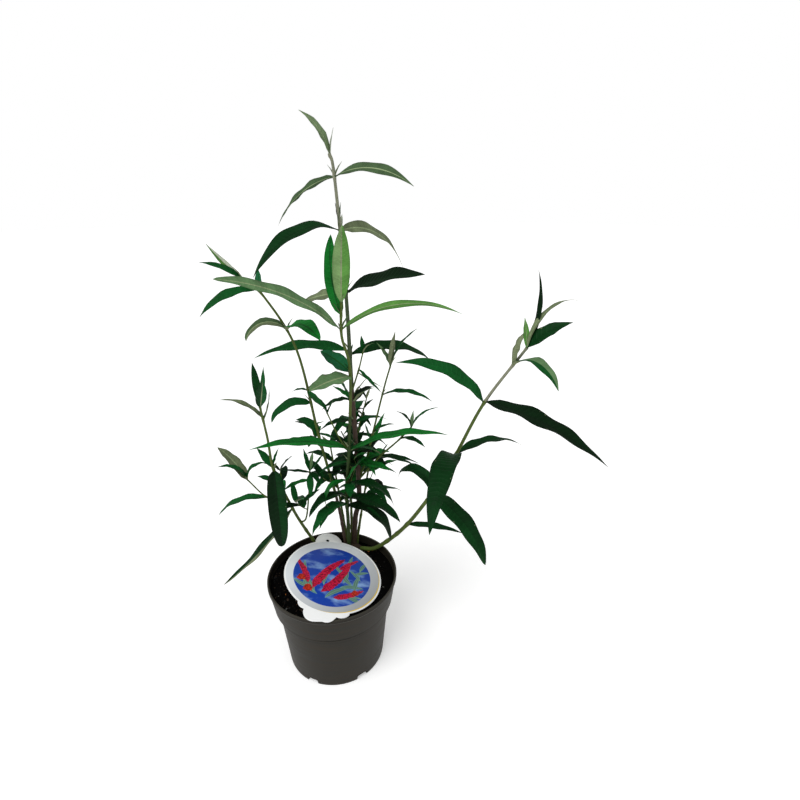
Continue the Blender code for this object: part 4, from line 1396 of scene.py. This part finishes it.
# Motifs of the picture: each stands on its own x and y, with its heading, length, width and bend
SPIKES = (
    (-24, -30, -14, 68, 13, 0.0045),
    (-14, -33, -46, 64, 13, -0.0040),
    (6, 8, -34, 34, 8, 0.0060),
    (-30, -22, 12, 44, 10, -0.0060),
    (2, -38, -78, 42, 10, -0.0060),
)
BLOOMS = ((-40, -18, 0, 11, 12, 0), (-29, -34, 0, 12, 13, 0), (30, -30, 0, 10, 10, 0))
PICTURE_LEAVES = (
    (-16, -36, 60, 34, 7, 0.010), (-20, -34, 20, 30, 6, -0.008), (-6, -40, -30, 34, 7, 0.012),
    (4, -38, -62, 34, 6, 0.010), (-26, -26, 85, 24, 6, 0.012), (10, -20, -66, 30, 6, 0.010),
    (-10, -20, 10, 30, 6, 0.012), (14, -12, -20, 30, 6, -0.010), (-34, -6, 28, 24, 5, 0.010),
    (20, -34, -95, 24, 6, 0.012), (26, 4, -50, 22, 5, 0.012), (30, -24, 8, 30, 6, 0.010),
    (36, -4, 30, 22, 5, -0.012), (20, 12, 12, 26, 5, 0.012), (34, 12, -12, 20, 5, 0.010),
    (26, -14, 52, 26, 6, 0.008), (12, 0, 25, 24, 5, -0.010),
)
PICTURE_RADIUS = 50.3
PICTURE_CENTRE = (-1.2, -2.0, 0.0)
CRESCENT_RADIUS = 62.0
CRESCENT_CENTRE = (-1.9, 1.3, 0.0)
EDGE_RADIUS = 61.2
CARD_LIGHT = 1.2
CARD_SHADE = 0.6
CARD_SLOPE = (-40.0, 80.0)
CARD_ROUGHNESS = 0.32
CARD_GRAIN = {"Scale": 30.0, "Grain": 500.0}
CARD_BUMP = (0.12, 0.001)
CLOUD_STRETCH = (0.5, 1.0, 1.0)
CLOUD_TURN = (0, 0, 0.3)
CLOUD_NOISE = (0.07, 5.0)
CLOUD_RAMP = (0.5, 0.72, 0.9)
RIB_LIGHT = 2.0
PETAL_SHADE = 0.25


def label_place():
    """The label's turn and place: it leans on the rim, on the compost and on the stems."""
    back = Matrix.Rotation(math.radians(LABEL_LEAN_BACK), 4, "X")
    side = Matrix.Rotation(math.radians(LABEL_LEAN_SIDE), 4, "Y")
    return Matrix.Translation(LABEL_CENTRE) @ back @ side


def lobed_outline(turn):
    """The label's edge at a turn about its centre: a disc with a tab behind and lobes in front."""
    reach = LABEL_RADIUS
    for heading, distance, radius in (TAB, *LOBES):
        along = distance * math.cos(turn - math.radians(heading))
        inside = radius**2 - distance**2 + along**2
        if inside > 0 and along > 0:
            edge = along + math.sqrt(inside)
            near = max(0.0, FILLET - abs(edge - reach)) / FILLET
            reach = max(reach, edge) + near**2 * FILLET / 4
    return reach


def distance_from(tree, flat, centre):
    """How far a point of the card lies from a centre."""
    offset = vector_maths(tree, "SUBTRACT", flat, centre)[0]
    return vector_maths(tree, "LENGTH", offset)["Value"]


def label_finish(settings):
    """The printed face: a silver border with a gold crescent round a picture of flower spikes."""
    finish, tree, shader = principled("label_print", {"Roughness": CARD_ROUGHNESS})
    calc = partial(maths, tree)
    flat = vector_maths(tree, "SUBTRACT", object_place(tree), LABEL_CENTRE)[0]
    lean = (math.radians(-LABEL_LEAN_BACK), math.radians(-LABEL_LEAN_SIDE), 0)
    flat = mapped(tree, flat, {"Rotation": lean, "Scale": (1 / MM,) * 3})
    flat = vector_maths(tree, "MULTIPLY", flat, (1.0, 1.0, 0.0))[0]
    x, y, _ = axes(tree, flat)
    shade = ramp(tree, calc("SUBTRACT", x, y), *CARD_SLOPE)
    lit = [min(1.0, channel * CARD_LIGHT) for channel in settings.card]
    shaded = [channel * CARD_SHADE for channel in settings.card]
    tone = blend(tree, shade, lit, shaded)
    for centre, radius, colour in (
        (CRESCENT_CENTRE, CRESCENT_RADIUS, settings.gold), ((0.0, 0.0, 0.0), EDGE_RADIUS, settings.edge),
    ):
        outside = calc("GREATER_THAN", distance_from(tree, flat, centre), radius)
        tone = blend(tree, outside, tone, tuple(colour))
    inside = calc("LESS_THAN", distance_from(tree, flat, PICTURE_CENTRE), PICTURE_RADIUS)
    grain = use_group(tree, "mottle", CARD_GRAIN)
    connect(tree, shader, {
        "Base Color": blend(tree, inside, tone, picture_tone(tree, flat, settings)),
        "Normal": bump(tree, grain["Patch"], *CARD_BUMP),
    })
    return finish


def picture_tone(tree, flat, settings):
    """Sky, clouds, leaves and flower spikes, in millimetres from the label's centre."""
    drawn = mapped(tree, flat, {"Scale": CLOUD_STRETCH, "Rotation": CLOUD_TURN})
    cover = ramp(tree, noise(tree, drawn, *CLOUD_NOISE), *CLOUD_RAMP)
    tone = blend(tree, cover, tuple(settings.sky), tuple(settings.cloud))
    foliage = tuple(settings.foliage)
    pale = [min(1.0, channel * RIB_LIGHT) for channel in foliage]
    for motif in PICTURE_LEAVES:
        leaf = place_motif(tree, flat, "pointed_leaf", *motif)
        tone = blend(tree, leaf["Mask"], tone, foliage)
        tone = blend(tree, leaf["Rib"], tone, pale)
    for motifs, colour in ((SPIKES, tuple(settings.flower)), (BLOOMS, tuple(settings.bloom))):
        shaded = [channel * PETAL_SHADE for channel in colour]
        for motif in motifs:
            spike = place_motif(tree, flat, "flower_spike", *motif)
            tone = blend(tree, spike["Mask"], tone, blend(tree, spike["Shade"], shaded, colour))
    return tone


def place_motif(tree, flat, group, x, y, heading, length, width, bend):
    """One motif of the picture, standing on its own point and turned to its own heading."""
    changes = {"Location": (x, y, 0), "Rotation": (0, 0, math.radians(heading))}
    turned = mapped(tree, flat, changes, "TEXTURE")
    return use_group(tree, group, {"Place": turned, "Length": length, "Width": width, "Bend": bend})


class POTTED_OT_label(bpy.types.Operator):
    """Cuts the round card with its tab, hole and lobes, rounds its edge and prints it"""

    bl_idname = "potted_bush.label"
    bl_label = "Picture label"

    def execute(self, context):
        settings = context.scene.potted_bush_label
        deselect_all()
        bpy.ops.mesh.primitive_circle_add(
            vertices=LABEL_SIDES, radius=1.0, fill_type="NGON", location=(0, 0, 0)
        )
        label = context.object
        label.name = label.data.name = "picture_label"
        for vertex in label.data.vertices:
            vertex.co *= lobed_outline(math.atan2(vertex.co.y, vertex.co.x))
        bpy.ops.object.mode_set(mode="EDIT")
        bpy.ops.mesh.select_all(action="SELECT")
        bpy.ops.mesh.extrude_region_move(TRANSFORM_OT_translate={"value": (0, 0, LABEL_THICKNESS)})
        bpy.ops.mesh.select_all(action="SELECT")
        bpy.ops.mesh.normals_make_consistent(inside=False)
        bpy.ops.object.mode_set(mode="OBJECT")
        self.punch_hole(context, label)
        bevel = label.modifiers.new("edge", "BEVEL")
        bevel.width = EDGE_ROUNDING
        bevel.segments = 2
        bevel.limit_method = "ANGLE"
        apply_modifier(label, "edge")
        label.matrix_world = label_place()
        apply_place(label)
        bpy.ops.object.shade_smooth_by_angle(angle=math.radians(LABEL_SMOOTH))
        label.data.materials.append(label_finish(settings))
        finish_piece(label, "label_card", "label")
        return {"FINISHED"}

    def punch_hole(self, context, label):
        """Punches the tab's hole."""
        centre = direction(TAB_HOLE[0], 0) * TAB_HOLE[1]
        deselect_all()
        bpy.ops.mesh.primitive_cylinder_add(
            vertices=HOLE_SIDES, radius=TAB_HOLE_RADIUS, depth=6 * LABEL_THICKNESS, location=centre
        )
        cut_away(label, context.object, "hole")


# Plant

RIB_TONE = (0.010, 0.080, 0.016)
PALE_RIB_TONE = (0.24, 0.31, 0.16)
RIB_FELT = 0.3
UNDER_FELT = 0.8
UNDER_RIB_LIGHT = 1.35
OLD_CRACKS = 1.0
YOUNG_CRACKS = 0.35


def plant_finishes(settings):
    """Every leaf and bark material by slot name."""
    finishes = {tint: leaf_finish("leaf_" + tint, tuple(getattr(settings, tint))) for tint in TINTS}
    under = tuple(settings.under)
    under_rib = tuple(channel * UNDER_RIB_LIGHT for channel in under)
    finishes["under"] = leaf_finish("leaf_underside", under, UNDER_FELT)
    finishes["rib"] = leaf_finish("leaf_rib", RIB_TONE, RIB_FELT)
    finishes["pale_rib"] = leaf_finish("leaf_pale_rib", PALE_RIB_TONE, RIB_FELT)
    finishes["under_rib"] = leaf_finish("leaf_underside_rib", under_rib, UNDER_FELT)
    for bark in BARKS:
        cracked = OLD_CRACKS if bark == "old_bark" else YOUNG_CRACKS
        finishes[bark] = bark_finish(bark, tuple(getattr(settings, bark)), cracked)
    return finishes


# No point of a stem is kept nearer than this to the cut between its limb and its mass
CUT_MARGIN = 0.001
LIMB_SINK = 0.003
LIMB_SIDES = 16
LIMB_SWELL = 0.22
OLD_JOINTS = (150, 168)
STEM_SIDES = 12
STEM_SWELL = 0.3
SPRIG_SIDES = 8


class Branch(NamedTuple):
    """A stem that bears leaves: its mass, its path, its own leaves and its pairs by rule."""

    mass: str
    path: list
    leaves: tuple = ()
    pairs: Pairs = None


def split_path(path, height):
    """A path's part below a height and its part above, one gap apart."""
    cut = at_height(path, height)
    apart = [point for point in path if (point - cut).length > CUT_MARGIN]
    below = [point for point in apart if point.z < height] + [cut]
    above = [point for point in apart if point.z > height]
    ahead = (above[0] - cut).normalized()
    return below, [cut + ahead * LIMB_TOP_GAP, *above]


def grow_stem(shoot):
    """A shoot's bare limb, if it has one, its leafy stem and the branch for its leaves."""
    path = smooth_path(shoot.knots)
    foot, tip = shoot.radii
    nodes = [leaf.node for leaf in shoot.leaves]
    if not shoot.limb_top:
        shape = stem_shape(path, shoot.radii, STEM_SIDES, shoot.bark, nodes + [path[0].z / MM], STEM_SWELL)
        return None, shape, Branch(shoot.mass, path, shoot.leaves, shoot.pairs)
    share = (shoot.limb_top * MM - path[0].z) / (path[-1].z - path[0].z)
    middle = foot + (tip - foot) * share
    below, path = split_path(path, shoot.limb_top * MM)
    below = [point for point in below if point.z > COMPOST_TOP - LIMB_SINK]
    joints = [node for node in nodes if node < shoot.limb_top] + [*OLD_JOINTS]
    limb = stem_shape(below, (foot, middle), LIMB_SIDES, shoot.bark[:1], joints, LIMB_SWELL)
    shape = stem_shape(path, (middle, tip), STEM_SIDES, shoot.bark[1:], nodes, STEM_SWELL)
    return limb, shape, Branch(shoot.mass, path, shoot.leaves, shoot.pairs)


def straight_path(root, way, steps):
    """Points at even steps from a root to the end of a way."""
    return [root + way * step / steps for step in range(steps + 1)]


LEAF_SEED = 7
FINE_SEED = 31
# A branch with more points than this is a leader, which bears buds and fine twigs
LEADER_POINTS = 20
# The most fine twigs on a leader of each mass
FINE_MOST = {
    "tall": 1, "front": 1, "left": 2, "right": 0, "side": 1,
    "rear_left": 1, "rear": 2, "rear_right": 1,
}
# The highest that a fine twig grows, in metres
FINE_TOP = 0.32
FINE_START = 0.3
FINE_LENGTHS = (22, 48)
FINE_RISES = (25, 60)
FINE_STEPS = 6
FINE_LIFT = 0.0072
FINE_RADII = (0.75, 0.5)
FINE_SIDES = 6
FINE_PAIRS = 3
FINE_LEAF_LENGTHS = (34, 52)
FINE_LEAF_TAPER = 0.2
FINE_LEAF_RISES = (15, 45)
FINE_TIP_RISE = 25
FINE_LEAF_HEADING = 60
FINE_LEAF_TURN = 15
FINE_LEAF_DROOPS = (20, 70)
FINE_LEAF_SLENDERNESS = 0.3
FINE_LEAF_BLUNT = 0.5
FINE_TINTS = ("darkest", "deep", "deep", "green", "bright")
# Buds: the shortest leaf that has one in its axil, their own lengths, and where they are felted
BUD_LEAST = 40
BUD_LENGTHS = (9, 20)
BUD_SLENDERNESS = 0.22
BUD_TURN = 25
BUD_RISE = 68
BUD_DROOP = 20
BUD_TINTS = ("green", "sage", "green")
FELTED_FROM = 440


def bud_shapes(branch, chance):
    """Small young leaves in the axils of a leader's own leaves, felted near the top."""
    shapes = []
    for leaf in branch.leaves:
        if leaf.length < BUD_LEAST:
            continue
        small = chance.uniform(*BUD_LENGTHS)
        felted = leaf.node > FELTED_FROM and branch.mass != "front"
        tint = "tip" if felted else chance.choice(BUD_TINTS)
        width = small * BUD_SLENDERNESS
        bud = Leaf(leaf.node, leaf.heading + BUD_TURN, small, width, BUD_RISE, BUD_DROOP, 0, tint)
        shapes.append(leaf_shape(at_height(branch.path, leaf.node * MM), bud, chance))
    return shapes


def grow_fine_twigs(space, branch, most, chance, twigs, leaves):
    """Thin side twigs low on a leader, each with its leaves in pairs and its tip turned up."""
    low, high = branch.path[0].z, min(branch.path[-1].z, FINE_TOP)
    for twig in range(most):
        root = at_height(branch.path, low + (high - low) * (twig + FINE_START) / most)
        heading = chance.uniform(0, 360)
        length = chance.uniform(*FINE_LENGTHS)
        way = direction(heading, chance.uniform(*FINE_RISES)) * length * MM
        path = [
            point + Vector((0, 0, FINE_LIFT)) * (step / FINE_STEPS) ** 2
            for step, point in enumerate(straight_path(root, way, FINE_STEPS))
        ]
        shape = stem_shape(path, FINE_RADII, FINE_SIDES, ("green_bark",))
        if not space.place(branch.mass, shape, twigs):
            continue
        for pair in range(FINE_PAIRS):
            root = path[2 * (pair + 1)]
            for side in (0, 180):
                size = chance.uniform(*FINE_LEAF_LENGTHS) * (1 - FINE_LEAF_TAPER * pair)
                rise = chance.uniform(*FINE_LEAF_RISES) + FINE_TIP_RISE * (pair == FINE_PAIRS - 1)
                turn = heading + FINE_LEAF_HEADING + pair * QUARTER_TURN + side
                turn += chance.uniform(-FINE_LEAF_TURN, FINE_LEAF_TURN)
                droop = chance.uniform(*FINE_LEAF_DROOPS)
                tint = chance.choice(FINE_TINTS)
                width = size * FINE_LEAF_SLENDERNESS
                leaf = Leaf(0, turn, size, width, rise, droop, 0, tint, FINE_LEAF_BLUNT)
                space.place(branch.mass, leaf_shape(root, leaf, chance), leaves)


def grow_plant(side_twigs):
    """Limbs, twigs and leaves of each mass, by the source's rule and then by finer twigs."""
    space = Space()
    limbs, twigs, leaves = {}, {mass: [] for mass in MASSES}, {mass: [] for mass in MASSES}
    branches = []
    for shoot in SHOOTS:
        limb, shape, branch = grow_stem(shoot)
        if limb:
            limbs[shoot.mass] = limb
        twigs[shoot.mass].append(shape)
        space.add(shoot.mass, shape)
        branches.append(branch)
    for mass, shape in limbs.items():
        space.add("limb_" + mass, shape)
    for sprig in SPRIGS:
        parent = next(branch.path for branch in branches if branch.mass == sprig.mass)
        way = direction(sprig.heading, sprig.rise) * sprig.length * MM
        path = straight_path(at_height(parent, sprig.node * MM), way, SPRIG_STEPS)
        shape = stem_shape(path, SPRIG_RADII, SPRIG_SIDES, ("green_bark",))
        if space.place(sprig.mass, shape, twigs[sprig.mass]):
            branches.append(Branch(sprig.mass, path, (), sprig.pairs))
    chance = random.Random(LEAF_SEED)
    for branch in branches:
        by_rule = rule_leaves(branch.path, branch.pairs) if branch.pairs else ()
        for leaf in (*branch.leaves, *by_rule):
            shape = leaf_shape(at_height(branch.path, leaf.node * MM), leaf, chance)
            space.place(branch.mass, shape, leaves[branch.mass])
    chance = random.Random(FINE_SEED)
    for branch in branches:
        if len(branch.path) > LEADER_POINTS:
            most = min(side_twigs, FINE_MOST[branch.mass])
            if most:
                leaves[branch.mass] += bud_shapes(branch, chance)
            grow_fine_twigs(space, branch, most, chance, twigs[branch.mass], leaves[branch.mass])
    return limbs, twigs, leaves


CROWN_CENTRE = (0.020, 0.0585)
CROWN_RADII = (0.015, 0.010)
CROWN_HEIGHT = 0.009
CROWN_SINK = 0.002
CROWN_RINGS = 16
CROWN_SIDES = 64
CROWN_SEED = 5
CROWN_BLUNTNESS = 0.6
CROWN_KNOBS = 0.08
CROWN_GROOVES = 0.05
CROWN_ROUGHNESS = 0.012


def crown_shape():
    """The stool of old wood under the leaders, with broad knobs and finer grooves winding round it."""
    chance = random.Random(CROWN_SEED)
    vertices = []
    for ring in range(CROWN_RINGS):
        climb = math.pi / 2 * ring / CROWN_RINGS
        height = COMPOST_TOP - CROWN_SINK + (CROWN_HEIGHT + CROWN_SINK) * math.sin(climb)
        for side in range(CROWN_SIDES):
            turn = math.tau * side / CROWN_SIDES
            knobs = 1 + CROWN_KNOBS * math.sin(3 * turn + 4 * climb)
            knobs -= CROWN_GROOVES * abs(math.sin(7 * turn + 2 * climb))
            knobs *= 1 + chance.uniform(-CROWN_ROUGHNESS, CROWN_ROUGHNESS)
            wide, deep = (radius * knobs * math.cos(climb) ** CROWN_BLUNTNESS for radius in CROWN_RADII)
            x = CROWN_CENTRE[0] + wide * math.cos(turn)
            y = CROWN_CENTRE[1] + deep * math.sin(turn)
            vertices.append(Vector((x, y, height)))
    vertices.append(Vector((*CROWN_CENTRE, COMPOST_TOP + CROWN_HEIGHT)))
    faces = [tuple(range(CROWN_SIDES - 1, -1, -1))] + ring_faces(CROWN_RINGS, CROWN_SIDES)
    top = len(vertices) - 1
    rim = top - CROWN_SIDES
    faces += [(rim + side, rim + (side + 1) % CROWN_SIDES, top) for side in range(CROWN_SIDES)]
    return vertices, faces, ["old_bark"] * len(faces), [NO_BLADE] * len(vertices)


class POTTED_OT_plant(bpy.types.Operator):
    """Grows the crown, limbs, twigs and leaves of the bush"""

    bl_idname = "potted_bush.plant"
    bl_label = "Butterfly bush"

    def execute(self, context):
        settings = context.scene.potted_bush_plant
        finishes = plant_finishes(settings)
        limbs, twigs, leaves = grow_plant(settings.side_twigs)
        stool = Sheets(["old_bark"], [crown_shape()])
        finish_piece(stool.build("woody_crown", finishes), "bark", "crown")
        for mass in MASSES:
            limb = Sheets(BARKS, [limbs[mass]]).build(f"{mass}_limb", finishes)
            finish_piece(limb, "bark" if mass == "tall" else "green_stem", "limb_" + mass)
            stems = Sheets(BARKS, twigs[mass]).build(f"{mass}_twigs", finishes)
            finish_piece(stems, "green_stem")
            blades = Sheets(LEAF_SLOTS, leaves[mass]).build(f"{mass}_leaves", finishes)
            finish_piece(blades, "leaf", "foliage_" + mass)
        return {"FINISHED"}


# Stage

CAMERA_PLACE = (0.0901, -0.5389, 0.6055)
CAMERA_PITCH = 22.77
CAMERA_ROLL = -0.11
SENSOR_WIDTH = 36.0
CLIP_START = 0.01
FLOOR_SIDES = 96
FLOOR_RADIUS = 9.0
FLOOR_ROUGHNESS = 0.9
WHITE = (1.0, 1.0, 1.0, 1.0)
# Each lamp's name, the place that it shines from, its width in degrees and its share of the key power
LIGHTS = (
    ("key", (-0.6, -0.75, 1.3), 45, 1.0),
    ("fill", (0.9, -0.6, 0.8), 60, 0.2),
)


class POTTED_OT_stage(bpy.types.Operator):
    """Sets up the camera, a plain pale floor and soft light"""

    bl_idname = "potted_bush.stage"
    bl_label = "Camera, floor and light"

    def execute(self, context):
        settings = context.scene.potted_bush_stage
        self.add_camera(context.scene, settings.lens)
        self.add_floor(context, settings)
        self.add_lights(context.scene, settings)
        context.scene.view_settings.view_transform = "Standard"
        return {"FINISHED"}

    def add_camera(self, scene, lens):
        """The camera at the photo's place, looking down on the pot."""
        camera = bpy.data.objects.new("camera", bpy.data.cameras.new("camera"))
        camera.data.lens = lens
        camera.data.sensor_width = SENSOR_WIDTH
        camera.data.clip_start = CLIP_START
        pitch = Matrix.Rotation(math.radians(90 - CAMERA_PITCH), 4, "X")
        roll = Matrix.Rotation(math.radians(CAMERA_ROLL), 4, "Z")
        camera.matrix_world = Matrix.Translation(CAMERA_PLACE) @ pitch @ roll
        scene.collection.objects.link(camera)
        scene.camera = camera

    def add_floor(self, context, settings):
        """A wide pale disc that glows a little, so that it stays white far off."""
        deselect_all()
        bpy.ops.mesh.primitive_circle_add(
            vertices=FLOOR_SIDES, radius=FLOOR_RADIUS, fill_type="NGON", location=(0, 0, 0)
        )
        floor = context.object
        floor.name = floor.data.name = "floor"
        finish, _, _ = principled("floor_finish", {
            "Base Color": (*settings.floor, 1.0),
            "Roughness": FLOOR_ROUGHNESS,
            "Emission Color": WHITE,
            "Emission Strength": settings.floor_glow,
        })
        floor.data.materials.append(finish)

    def add_lights(self, scene, settings):
        """Wide soft lamps from both sides, and an even white surround."""
        for name, place, width, share in LIGHTS:
            lamp = bpy.data.lights.new(name, "SUN")
            lamp.angle = math.radians(width)
            lamp.energy = settings.key_power * share
            light = bpy.data.objects.new(name, lamp)
            light.location = place
            light.rotation_euler = Vector(place).to_track_quat("Z", "Y").to_euler()
            scene.collection.objects.link(light)
        world = bpy.data.worlds.new("studio")
        world.use_nodes = True
        tree = world.node_tree
        glow = tree.nodes["Background"]
        glow.inputs["Color"].default_value = WHITE
        ray = add_node(tree, "ShaderNodeLightPath").outputs
        less = settings.sheen - settings.surround
        strength = maths(tree, "MULTIPLY_ADD", ray["Is Glossy Ray"], less, settings.surround)
        connect(tree, glow, {"Strength": maths(tree, "MAXIMUM", strength, ray["Is Camera Ray"])})
        scene.world = world


# Panel and registration


class POTTED_PT_panel(bpy.types.Panel):
    """Lists the settings and the pieces that can be built."""

    bl_label = "Butterfly Bush"
    bl_idname = "POTTED_PT_panel"
    bl_space_type = "VIEW_3D"
    bl_region_type = "UI"
    bl_category = "Butterfly Bush"

    def draw(self, context):
        for operator, settings in (
            ("pot", "pot"), ("compost", "pot"), ("label", "label"), ("plant", "plant"), ("stage", "stage"),
        ):
            box = self.layout.box()
            box.operator("potted_bush." + operator)
            group = getattr(context.scene, "potted_bush_" + settings)
            for name in group.bl_rna.properties.keys():
                if name not in ("name", "rna_type"):
                    box.prop(group, name)


GROUPS = {
    "potted_bush_pot": PotSettings,
    "potted_bush_label": LabelSettings,
    "potted_bush_plant": PlantSettings,
    "potted_bush_stage": StageSettings,
}
CLASSES = (
    *GROUPS.values(), POTTED_OT_pot, POTTED_OT_compost, POTTED_OT_label, POTTED_OT_plant, POTTED_OT_stage,
    POTTED_PT_panel,
)


def register():
    """Registers the settings, the operators and the panel."""
    for cls in CLASSES:
        bpy.utils.register_class(cls)
    for name, group in GROUPS.items():
        setattr(bpy.types.Scene, name, PointerProperty(type=group))


def unregister():
    """Takes away what was registered."""
    for name in GROUPS:
        delattr(bpy.types.Scene, name)
    for cls in reversed(CLASSES):
        bpy.utils.unregister_class(cls)


def main():
    """Builds the whole object."""
    register()
    for make in GROUP_MAKERS:
        make()
    bpy.ops.potted_bush.pot()
    bpy.ops.potted_bush.compost()
    bpy.ops.potted_bush.label()
    bpy.ops.potted_bush.plant()
    bpy.ops.potted_bush.stage()


if __name__ == "__main__":
    main()
